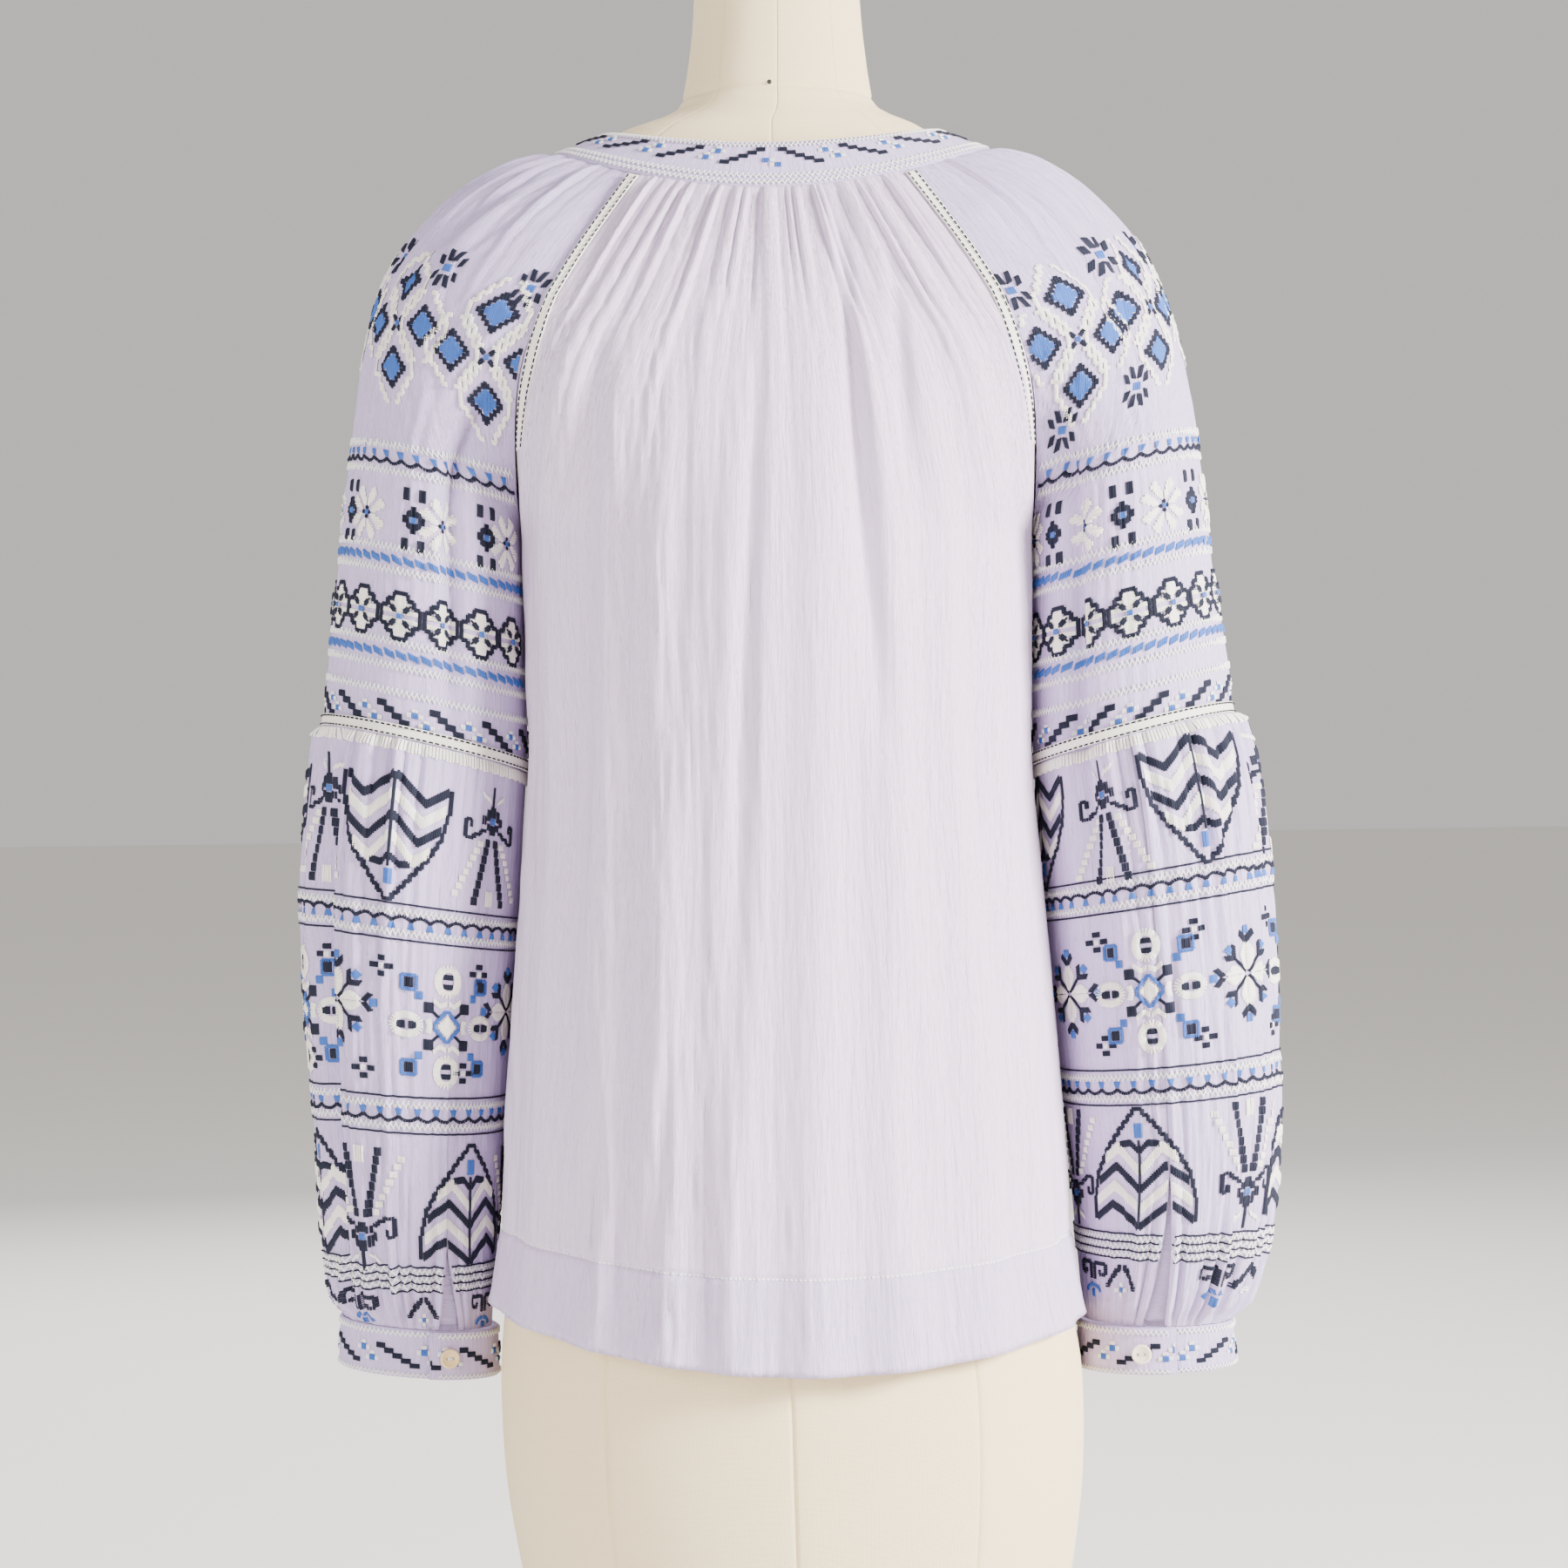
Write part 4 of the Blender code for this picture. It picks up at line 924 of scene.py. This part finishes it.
class Sleeve:
    """Turns millimetres along and above a row of a sleeve into places on its gathered cloth."""

    def __init__(self, side, upper):
        self.side, self.upper = side, upper
        self.shape = partial(sleeve, side) if upper else lower_surface(side)
        self.slit = -1.0 if upper else (-90 - SLIT_ANGLE[side]) % 360 / 180 - 1
        self.u = np.linspace(-1, 1, 361)
        v = np.linspace(0.3, ELBOW - 0.05, 300) if upper else np.linspace(ELBOW + 0.05, CUFF_TOP - 0.05, 300)
        if upper:
            uu, vv = np.meshgrid(self.u, v, indexing="ij")
            plain = self.plain(uu.ravel(), vv.ravel()).reshape(*uu.shape, 3)
            height = plain[..., 2] - ROW_SLOPE * (np.abs(plain[..., 0]) - 200)
        else:
            path = self.plain(np.full_like(v, self.slit), v)
            height = np.broadcast_to(-arc_length(path), (len(self.u), len(v)))
        self.levels = np.arange(height.min(), height.max(), 1.5)
        self.v_at = np.array([np.interp(self.levels, column[::-1], v[::-1]) for column in height])

    def plain(self, u, v):
        if self.upper:
            return sleeve_base(self.side, u, v)
        return sleeve_base(self.side, self.turns(u, v) / 180, v)

    def turns(self, u, v):
        if self.upper:
            return along(SLEEVE_COLUMNS, SLEEVE, v).spread * u
        return (SLIT_ANGLE[self.side] + 180 * (u + 1) + 180) % 360 - 180

    def row_v(self, u, height):
        """Row numbers at columns and heights, from the table."""
        i = np.clip((u + 1) / 2 * (len(self.u) - 1), 0, len(self.u) - 1.001)
        j = np.clip((height - self.levels[0]) / 1.5, 0, len(self.levels) - 1.001)
        i0, j0 = i.astype(int), j.astype(int)
        fi, fj = i - i0, j - j0
        low = self.v_at[i0, j0] * (1 - fj) + self.v_at[i0, j0 + 1] * fj
        high = self.v_at[i0 + 1, j0] * (1 - fj) + self.v_at[i0 + 1, j0 + 1] * fj
        return low * (1 - fi) + high * fi

    def row(self, height):
        """Distances along a row at each column, counted from the middle of the back, its whole length
        and the distance at which its underarm seam lies."""
        v = self.row_v(self.u, np.full_like(self.u, height))
        place = self.plain(self.u, v)
        turn = self.turns(self.u, v)
        inward = unit((place.mean(axis=0) - place) * (1, 1, 0))
        place = place + inward * arm_creased(self.side, self.u, turn, v)[:, None]
        arc = arc_length(place)
        zero = np.interp(-90, turn, arc) if self.upper else np.interp(self.slit, self.u, arc)
        arc = arc - zero
        seam = arc[0] if self.upper else \
            np.interp((180 - SLIT_ANGLE[self.side]) % 360 / 180 - 1, self.u, arc) - arc[-1] + arc[0]
        return arc, arc[-1] - arc[0], seam

    def place(self, height):
        """Laying function of a row. Tubes go round, and the cap ends at its seams."""
        arc, whole, _ = self.row(height)
        tube = not self.upper or height < 780

        def laid(x, y):
            x = (x - arc[0]) % whole + arc[0] if tube else x
            u = np.interp(x, arc, self.u)
            v = self.row_v(u, height + y)
            wide = np.ptp(u, axis=1)
            if self.upper and tube:
                good = wide < 2
            elif tube:
                good = (wide < 0.5) | (v.max(axis=1) < SLIT_TOP[self.side] - 0.1)
            else:
                good = (x > arc[0] + 1).all(axis=1) & (x < arc[-1] - 1).all(axis=1)
            u, v = u[good].ravel(), v[good].ravel()
            step = 0.004
            across = self.plain(u + step, v) - self.plain(u - step, v)
            down = self.plain(u, v + step) - self.plain(u, v - step)
            normal = unit(np.cross(across, down)) * self.side
            return good, self.shape(u, v).reshape(-1, 12, 3), normal.reshape(-1, 12, 3)
        return laid


# A stitch is a pillow of twelve corners: four sections along it, each with two edges and a middle
ACROSS = np.tile((-0.5, 0.0, 0.5), 4)
ALONG = np.repeat((0.0, 0.16, 0.84, 1.0), 3)
RISE = np.array((0.0, 0.35, 0.0, 0.25, 1.0, 0.25, 0.25, 1.0, 0.25, 0.0, 0.35, 0.0))
STITCH_FACES = np.array([(k, k + 3, k + 4, k + 1) for k in (0, 1, 3, 4, 6, 7)])
OVER = {"navy_over": (NAVY, 1.15), "blue_over": (BLUE, 1.15)}


def lay(place, stitches, made, lift=0.3):
    """Lay stitches on a surface and add their corners to the lists of their colours."""
    for color in sorted({color for color, _ in stitches}):
        rows = np.concatenate([rows for own, rows in stitches if own == color])
        color, extra = OVER.get(color, (color, 0.0))
        start, end, thick = rows[:, 0:2], rows[:, 2:4], rows[:, 4]
        ahead = end - start
        aside = np.stack((-ahead[:, 1], ahead[:, 0]), axis=1) / np.hypot(*ahead.T)[:, None]
        corners = start[:, None] + ahead[:, None] * ALONG[:, None]
        corners = corners + aside[:, None] * (ACROSS[:, None] * thick[:, None, None])
        good, at, normal = place(corners[..., 0], corners[..., 1])
        height = RISE * np.clip(thick[good] * 0.8, 0.3, 0.95)[:, None] + lift + extra
        made.setdefault(color, []).append(at + normal * height[..., None])


def stitch_mesh(name, parts, look):
    """One joined mesh of all the stitches of a colour."""
    corners = np.concatenate(parts)
    count = len(corners)
    faces = (STITCH_FACES[None] + np.arange(count)[:, None, None] * 12).reshape(-1, 4)
    mesh = bpy.data.meshes.new(name)
    mesh.vertices.add(count * 12)
    mesh.vertices.foreach_set("co", (corners * 0.001).ravel())
    mesh.loops.add(faces.size)
    mesh.loops.foreach_set("vertex_index", faces.ravel())
    mesh.polygons.add(len(faces))
    mesh.polygons.foreach_set("loop_start", np.arange(0, faces.size, 4))
    mesh.update(calc_edges=True)
    uv = mesh.uv_layers.new(name="cloth")
    flat = np.stack((np.tile(ALONG, count) * 4, np.tile(ACROSS, count)), axis=1)
    uv.data.foreach_set("uv", flat[faces.ravel()].ravel())
    made = finish_mesh(name, mesh, look)
    return made


def stitch_meshes(made, word):
    for color, parts in made.items():
        stitch_mesh("stitches_%s_%s" % (color, word), parts, thread_looks[color])


# Rows: motif, height and start on the left sleeve, the same on the right one, and the pitch. Heights are
# levels above the floor on the upper sleeve and distances below the elbow tape on the lower one.
MOTIF_ROWS = [
    (octagon, 729.5, 11.0, 729.5, -3.0, 26.4),
    (rope_link, 760.5, 0.0, 760.5, 3.0, 7.4),
    (rope_link, 707.5, 2.0, 708.5, 0.0, 7.4),
    (stair_motif, 673.0, 11.0, 673.0, 4.0, 31.5),
    (flower, 784.5, 39.0, 784.5, 22.0, 52.0),
    (quatrefoil, 784.5, 5.0, 784.5, -4.0, 52.0),
    (shield, -57.0, 7.0, -46.0, 24.0, 116.0),
    (anchor, -38.0, -53.0, -32.0, -31.0, 116.0),
    (star, -161.0, -28.0, -147.5, -15.0, 116.0),
    (leafy_star, -151.0, 38.0, -145.5, 46.0, 116.0),
    (plus, -129.5, 9.0, -116.5, -46.0, 58.0),
    (plus, -187.5, 20.0, -177.0, 15.0, 58.0),
    (standing_shield, -264.0, -42.0, -249.0, -25.0, 116.0),
    (hanging_anchor, -283.0, 22.0, -266.0, 40.0, 116.0),
    (hooks, -327.0, 28.0, -315.0, 24.0, 76.0),
    (roof, -327.0, -10.0, -316.0, -30.0, 76.0),
]
SCALLOP_PITCH = 10.4
SCALLOP_ROWS = [(816.5, 816.5, 2.6), (-103.5, -90.0, -2.6), (-213.0, -202.5, 2.6)]
FEATHER_ROWS_AT = {1: (824.3, 810.0, 767.3, 754.6, 714.5, 700.8, 686.5, -98.5, -110.0, -206.5, -218.5,
                       -302.5, -307.5, -312.5),
                   -1: (824.3, 810.0, 767.3, 754.6, 715.0, 701.5, 686.5, -84.8, -96.8, -195.8, -208.0,
                        -290.5, -295.5, -300.5)}
NAVY_LINES = {1: (-94.0, -114.0, -202.0, -222.5, -300.0, -305.0, -310.0, -315.0),
              -1: (-80.5, -100.5, -191.5, -211.8, -288.0, -293.0, -298.0, -303.0)}
CAP_GROUPS = {1: ((-0.42, 894), (-0.86, 883.4), (0.0, 903), (0.37, 896), (0.76, 886)),
              -1: ((-0.78, 887), (-0.37, 898), (0.0, 904), (0.37, 897), (0.76, 887))}
BUTTERFLIES = {1: ((-0.594, 929), (-0.92, 926), (-0.2, 937), (0.18, 936), (0.56, 928)),
               -1: ((-0.95, 922), (-0.547, 932), (-0.2, 937), (0.18, 934), (0.56, 928),
                    (-0.514, 854), (-0.862, 840), (0.2, 858), (0.6, 850))}


def lay_round(arms, height, fill, made):
    """Lay what a function makes for a row's whole length, from its underarm seam."""
    arm = arms[height > 0]
    _, whole, seam = arm.row(height)
    lay(arm.place(height), moved(fill(whole), seam), made)


def navy_line(whole):
    return line(NAVY, ((1, 0), (whole - 1, 0)), 1.15)


for side, word in ((1, "left"), (-1, "right")):
    made = {}
    arms = {True: Sleeve(side, True), False: Sleeve(side, False)}
    group = small_cross() + sum((moved(diamond_motif(), dx, dy) for dx, dy in
                                 ((0, 25.5), (0, -25.5), (21, 0), (-21, 0))), [])
    for motif, places in ((group, CAP_GROUPS[side]), (butterfly(), BUTTERFLIES[side])):
        for s, height in places:
            x = np.interp(s, arms[True].u, arms[True].row(height)[0])
            lay(arms[True].place(height), moved(motif, x), made)
    for motif, left, left_start, right, right_start, pitch in MOTIF_ROWS:
        height, start = (left, left_start) if side > 0 else (right, right_start)
        arm = arms[height > 0]
        _, whole, seam = arm.row(height)
        first = np.ceil((seam + 10 - start) / pitch)
        copies = [moved(motif(), start + (first + k) * pitch) for k in range(int(whole / pitch + 0.1))]
        lay(arm.place(height), sum(copies, []), made)
    for left, right, sag in SCALLOP_ROWS:
        lay_round(arms, left if side > 0 else right, partial(scallops, pitch=SCALLOP_PITCH, sag=sag), made)
    for height in FEATHER_ROWS_AT[side]:
        lay_round(arms, height, feather, made)
    for height in NAVY_LINES[side]:
        lay_round(arms, height, navy_line, made)
    stitch_meshes(made, word)


# Neckband and cuffs
# Double gauze folded into flat bands and stitched through. Feather stitch runs along their edges, two
# rows of it under the neck, and stairs of navy dashes with pairs of blue squares between.
BAND_SECTION = ((0, 0), (0.006, 0.75), (0.04, 1.05), (0.25, 1.2), (0.5, 1.25), (0.75, 1.2), (0.96, 1.05),
                (0.994, 0.75), (1, 0), (0.994, -0.7), (0.96, -1), (0.5, -1), (0.04, -1), (0.006, -0.7), (0, 0))
CUFF_LAP, CUFF_RISE = 16.0, 3.3
OUTSIDE = 1.3             # of the band's outer face from its middle

band_look, _, _ = gauze("band_gauze", GAUZE)


def neck_surface(turn, q, lift=0.0):
    """Neckband from its top (q 0) to its bottom (1), moved out by the lift."""
    top = neck_edge(BAND_TOP, turn)
    down = neck_edge(BAND_BOTTOM, turn) - top
    ahead = neck_edge(BAND_TOP, turn + 1) - neck_edge(BAND_TOP, turn - 1)
    return top + down * np.asarray(q)[..., None] + unit(np.cross(ahead, down)) * np.asarray(lift)[..., None]


def ring_surface(side, turn, v, lift):
    """Sleeve's smooth ring at angles and rows, moved out by the lift."""
    s = round_arm(turn)
    base = partial(sleeve_base, side)
    return base(s, v) + outward(base, s, v, side) * np.asarray(lift)[..., None]


def cuff_surface(side):
    """Cuff from its inner end (share 0) round to the end that laps over it (1)."""
    def surface(share, q, lift=0.0):
        turn = SLIT_ANGLE[side] - CUFF_LAP + (360 + 2 * CUFF_LAP) * share
        return ring_surface(side, turn, CUFF_TOP + 0.005 + 0.995 * q, CUFF_RISE * share + lift)
    return surface


def section(surface):
    """The surface followed round the band's section."""
    q, lift = np.array(BAND_SECTION).T
    step = np.arange(len(q))
    return lambda a, w: surface(a, np.interp(w, step, q), np.interp(w, step, lift))


def strip_place(surface, first, last, wide, middle=None):
    """Laying function of a strip, along it from the place called first and across from its middle."""
    params = np.linspace(first, last, 400)
    path = surface(params, np.full_like(params, 0.5))
    arc = arc_length(path)
    middle = path.mean(axis=0) if middle is None else np.array(middle, float)

    def laid(x, y):
        good = ((x > 0) & (x < arc[-1])).all(axis=1)
        a = np.interp(x[good].ravel(), arc, params)
        q = 0.5 - y[good].ravel() / wide
        at = surface(a, q)
        step = (last - first) * 0.001
        ahead, down = surface(a + step, q) - surface(a - step, q), surface(a, q + 0.01) - surface(a, q - 0.01)
        normal = unit(np.cross(ahead, down))
        normal = normal * np.sign((normal * (at - middle)).sum())
        return good, at.reshape(-1, 12, 3), normal.reshape(-1, 12, 3)
    return laid, arc[-1]


def band_stairs(flip):
    """Five flat dashes going up in steps, and two blue squares edged with white."""
    made = []
    for k in range(5):
        made += block(NAVY, (k - 2) * 5.0, (k - 2) * 2.3, 5.7, 2.9)
    for x, y in ((-15.5, 2.6), (-21.5, -2.2)):
        made += block(BLUE, x, y, 3.6, 3.2)
        made += block(WHITE, x - 3.1, y, 2.2, 2.4) + block(WHITE, x + 3.1, y, 2.2, 2.4)
        made += block(WHITE, x, y + 2.7, 3.0, 1.8)
    return moved(made, flip_x=flip)


def outer_face(surface):
    return lambda a, q: surface(a, q, np.full_like(a, OUTSIDE))


SECTION_ROWS = np.linspace(0, len(BAND_SECTION) - 1, 2 * len(BAND_SECTION) - 1)
NECK_WIDE, CUFF_WIDE = 31.0, 28.0
NECK_FEATHERS, CUFF_FEATHERS = (12.9, -8.2, -12.4), (11.4, -11.0)
NECK_STAIRS, NECK_STAIRS_START = 37.5, 16.5             # pitch, and place of the first from the centre back
CUFF_STAIRS, CUFF_STAIRS_START = 37.0, {1: 42.0, -1: 50.0}
BAND_LIFT = 0.1                                         # of stitches above the band's cloth

neckband = laid_grid("neckband_gauze", np.linspace(-180, 180, 289), SECTION_ROWS, section(neck_surface),
                     band_look, closed=True)
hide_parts("neckband")
place, length = strip_place(outer_face(neck_surface), -180, 180, NECK_WIDE)
half = length / 2
made = {}
for y in NECK_FEATHERS:
    lay(place, moved(feather(length - 4, 0.75), 2, y), made, BAND_LIFT)
for k in range(8):
    for way in (1, -1):
        x = half - way * (NECK_STAIRS_START + NECK_STAIRS * k)
        lay(place, moved(band_stairs(way), x, 5.0), made, BAND_LIFT)
middle = block(BLUE, -3.5, 0, 3.6, 3.2) + block(BLUE, 3.5, 3.0, 3.6, 3.2)
middle += block(WHITE, 0, 0, 2.4, 2.4) + block(WHITE, 0, 3.2, 2.4, 2.2)
lay(place, moved(middle, half, -0.8), made, BAND_LIFT)
stitch_meshes(made, "neckband")

for side, word in ((1, "left"), (-1, "right")):
    surface = cuff_surface(side)
    cuff = laid_grid("cuff_gauze_" + word, np.linspace(0, 1, 181), SECTION_ROWS, section(surface), band_look,
                     closed=True)
    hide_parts("cuff_" + word)
    place, length = strip_place(outer_face(surface), 0, 1, CUFF_WIDE)
    made = {}
    for y in CUFF_FEATHERS:
        lay(place, moved(feather(length - 5, 0.8), 2, y), made, BAND_LIFT)
    for k in range(8):
        lay(place, moved(band_stairs(1), CUFF_STAIRS_START[side] + CUFF_STAIRS * k, -0.5), made, BAND_LIFT)
    stitch_meshes(made, "cuff_" + word)


# Tapes
# Ivory twill tape 6.5 mm wide is laid over the raglan and elbow seams and sewn down with dark running
# stitch along both edges. Under the elbow tape a row of cream bars holds the gathers.
TAPE_WIDTH, TAPE_LIFT, TAPE_THICK = 6.5, 1.8, 0.9
ELBOW_ROW_DEPTH = 16.0        # millimetres from one row of the sleeve's table to the next at the elbow
TAPE_SEAM = 2.35              # from the tape's middle to its lines of stitches
TAPE = (0.86, 0.81, 0.73)

tape_look, tree, shader = new_look("twill_tape", TAPE, 0.85, 0.15)
twill = node(tree, "ShaderNodeTexWave", {"Vector": stretched_uv(tree, 600, 600)},
             bands_direction="DIAGONAL", Scale=1.0, Distortion=0.5).outputs["Fac"]
tint = tinted(tree, twill, 0.0, 1.0, scaled(TAPE, 0.86), scaled(TAPE, 1.04))
surfaced(tree, shader, twill, 0.6, 0.0003, tint)


def raglan_surface(face, side):
    """Tape down the raglan seam. Towards the armpit it moves onto the body panel."""
    def surface(v, q, lift=TAPE_LIFT):
        start = np.interp(v, (3, 4, 5, 7), (-TAPE_WIDTH / 2, 1.0, 3.0, 4.8))
        across = start + TAPE_WIDTH * q
        laid = []
        for base, edge, sign in ((partial(sleeve_base, side), -face, side),
                                 (partial(torso_base, face), side, face)):
            rim = np.full_like(v, edge)
            speed = np.linalg.norm(base(rim, v) - base(rim * 0.98, v), axis=1) / 0.02
            s = rim * (1 - np.abs(across) / speed)
            laid.append((base(s, v), outward(base, s, v, sign)))
        share = np.clip(0.5 - across / 3.0, 0, 1)[:, None]
        normal = unit(laid[0][1] * share + laid[1][1] * (1 - share))
        return np.where(across[:, None] < 0, laid[0][0], laid[1][0]) + normal * np.asarray(lift)
    return surface


def elbow_surface(side):
    return lambda turn, q, lift=TAPE_LIFT: ring_surface(
        side, turn, ELBOW + TAPE_WIDTH / ELBOW_ROW_DEPTH * (q - 0.5), np.full_like(turn, lift))


def thicken(piece):
    solid = piece.modifiers.new("thickness", "SOLIDIFY")
    solid.thickness = TAPE_THICK * 0.001
    solid.offset = 0


def tape(name, node_name, surface, first, last, columns, middle=None):
    piece = laid_grid(name, np.linspace(first, last, columns), np.linspace(0, 1, 7), surface, tape_look)
    thicken(piece)
    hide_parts(node_name)
    place, length = strip_place(partial(surface, lift=TAPE_LIFT + 0.5), first, last, TAPE_WIDTH, middle)
    for y in (TAPE_SEAM, -TAPE_SEAM):
        lay(place, line(NAVY, ((1, y), (length - 1, y)), 0.95, 3.6, 0.68), made, 0.15)


BAR_ROW, BAR_PITCH = -7.0, 1.9
made = {}
for side, word in ((1, "left"), (-1, "right")):
    for face, face_word in ((1, "back"), (-1, "front")):
        tape("tape_%s_%s" % (face_word, word), "raglan_tape_%s_%s" % (face_word, word),
             raglan_surface(face, side), 0.1, 7, 90, (0, 0, 850))
    tape("tape_elbow_" + word, "elbow_tape_" + word, elbow_surface(side), -180, 180, 181)
    arm = Sleeve(side, False)
    _, whole, seam = arm.row(BAR_ROW)
    bars = []
    for k, x in enumerate(np.arange(seam, seam + whole, BAR_PITCH)):
        bars += thread(CREAM, x, -2.6 - 0.9 * np.sin(2.3 * k) ** 2, x + 0.25, 3.6, 1.5)
    lay(arm.place(BAR_ROW), bars, made, 0.4)
stitch_meshes(made, "tapes")


# Slits, buttons and hem
# A strip of plain gauze lies behind each slit. The cuffs close with two-hole buttons, one of horn and
# one cream, held by crossed white thread. One line of small stitches holds the hem.
PLACKET_WIDTH, PLACKET_LIFT = 14.0, -1.7
for side, word in ((1, "left"), (-1, "right")):
    def placket_surface(v, q):
        depth = along(SLEEVE_COLUMNS, SLEEVE, v).depth
        turn = SLIT_ANGLE[side] + np.degrees(PLACKET_WIDTH / depth) * (q - 0.5)
        return ring_surface(side, turn, v, np.full_like(v, PLACKET_LIFT))

    placket = laid_grid("placket_" + word, np.linspace(SLIT_TOP[side] + 0.03, 22.9, 25), np.linspace(0, 1, 9),
                        placket_surface, band_look)
    thicken(placket)
    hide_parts("slit_placket_" + word)

BUTTON_TURN = {1: 2.0, -1: -8.0}
BUTTON_RADIUS, BUTTON_THICK, SHANK, HOLE_PLACE = 5.75, 2.4, 1.0, 1.5
BUTTON_SECTION = ((0, 0), (0.7, 0), (0.9, 0.14), (1, 0.45), (0.985, 0.75), (0.93, 0.95), (0.84, 1.0),
                  (0.74, 0.93), (0.66, 0.78), (0.58, 0.7), (0, 0.68))
BUTTON_COLOR = {1: ((0.62, 0.40, 0.17), (0.80, 0.62, 0.36)), -1: ((0.70, 0.62, 0.47), (0.86, 0.80, 0.68))}
for side, word in ((1, "left"), (-1, "right")):
    dark, light = BUTTON_COLOR[side]
    look, tree, shader = new_look("button_" + word, light, 0.28)
    shader.inputs["Coat Weight"].default_value = 0.4
    cloud = node(tree, "ShaderNodeTexNoise", Scale=260.0, Detail=3.0, Distortion=1.5)
    tree.links.new(tinted(tree, cloud.outputs["Fac"], 0.35, 0.65, dark, light), shader.inputs["Base Color"])
    lift = CUFF_RISE + 1.0 + SHANK
    turn, row = np.array([SLIT_ANGLE[side] + BUTTON_TURN[side]]), np.array([(CUFF_TOP + CUFF_BOTTOM) / 2])
    at, above = (ring_surface(side, turn, row, np.array([height]))[0] for height in (lift, lift + 1))
    turned = Vector(above - at).to_track_quat("Z", "Y").to_matrix().to_4x4()
    to_cuff = Matrix.Scale(0.001, 4) @ Matrix.Translation(at) @ turned

    bm = bmesh.new()
    verts = [bm.verts.new((r * BUTTON_RADIUS, 0, h * BUTTON_THICK)) for r, h in BUTTON_SECTION]
    edges = [bm.edges.new(pair) for pair in zip(verts, verts[1:])]
    bmesh.ops.spin(bm, geom=verts + edges, axis=(0, 0, 1), cent=(0, 0, 0), angle=2 * pi, steps=48,
                   use_merge=True, use_duplicate=False)
    bmesh.ops.remove_doubles(bm, verts=bm.verts, dist=0.001)
    bmesh.ops.recalc_face_normals(bm, faces=bm.faces)
    bmesh.ops.transform(bm, matrix=to_cuff, verts=bm.verts)
    button = finish_mesh("button_" + word, mesh_of("button_" + word, bm), look)
    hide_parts("cuff_button_" + word)

    # The holes are thin near-black discs on the button's face: painted shade that stands in for the dark
    # inside of each hole.
    bm = bmesh.new()
    for x in (-HOLE_PLACE, HOLE_PLACE):
        bmesh.ops.create_cone(bm, cap_ends=True, segments=20, radius1=0.85, radius2=0.75, depth=0.12,
                              matrix=Matrix.Translation((x, 0, BUTTON_THICK * 0.69 + 0.06)))
    bmesh.ops.transform(bm, matrix=to_cuff, verts=bm.verts)
    holes = finish_mesh("painted_hole_shade_" + word, mesh_of("painted_hole_shade_" + word, bm),
                        new_look("hole_shade_paint_" + word, (0.05, 0.03, 0.02), 0.9)[0])

    def face_place(x, y):
        flat = np.stack((x, y, np.full_like(x, BUTTON_THICK * 0.7 + 0.1), np.ones_like(x)), axis=-1)
        grid = np.array(to_cuff) * 1000
        grid[3, 3] = 1
        spots = flat @ grid[:3].T
        return np.ones(len(x), bool), spots, np.broadcast_to(unit(grid[:3, 2]), spots.shape)

    made = {}
    across = sum((thread(WHITE, -1.7, y, 1.7, -y * 0.4, 0.75) for y in (-0.5, 0.0, 0.5)), [])
    lay(face_place, across, made, 0.0)
    stitch_meshes(made, "button_" + word)

thread_looks["hem"] = new_look("hem_thread", (0.88, 0.84, 0.88), 0.7, 0.2)[0]
for face, word in ((1, "back"), (-1, "front")):
    hem = lambda s, q: torso(face, s, HEM_LINE + (q - 0.5) * 0.02)
    place, length = strip_place(hem, -0.985, 0.985, 0.6, (0, 0, 380))
    made = {}
    lay(place, line("hem", ((1, 0), (length - 1, 0)), 0.7, 2.6, 0.7), made, 0.15)
    stitch_meshes(made, "hem_" + word)


# Board and stand
# The form stands on a varnished plywood board screwed to a steel pole in a heavy round base, both in
# black powder paint. The CAD solids keep their shape.
DARK_WOOD, PALE_WOOD = (0.30, 0.19, 0.10), (0.56, 0.41, 0.25)
DARK_PAINT, PALE_PAINT = (0.018, 0.018, 0.02), (0.04, 0.04, 0.043)

wood_look, tree, shader = new_look("varnished_wood", (0.48, 0.34, 0.21), 0.42)
layers = node(tree, "ShaderNodeMapping", {"Vector": node(tree, "ShaderNodeTexCoord").outputs["Object"]})
layers.inputs["Scale"].default_value = (9, 60, 220)
grain = node(tree, "ShaderNodeTexNoise", {"Vector": layers.outputs[0]}, Scale=1.0, Detail=5.0,
             Distortion=1.2).outputs["Fac"]
surfaced(tree, shader, grain, 0.3, 0.0003, tinted(tree, grain, 0.3, 0.7, DARK_WOOD, PALE_WOOD))

paint_look, tree, shader = new_look("powder_paint", (0.025, 0.025, 0.027), 0.4)
grain = node(tree, "ShaderNodeTexNoise", Scale=1400.0, Detail=2.0).outputs["Fac"]
cloud = node(tree, "ShaderNodeTexNoise", Scale=18.0, Detail=4.0).outputs["Fac"]
surfaced(tree, shader, grain, 0.4, 0.0002, tinted(tree, cloud, 0.3, 0.7, DARK_PAINT, PALE_PAINT))

for node_name, look in (("bottom_board", wood_look), ("stand_pole", paint_look), ("stand_base", paint_look)):
    refinish(node_name, look)
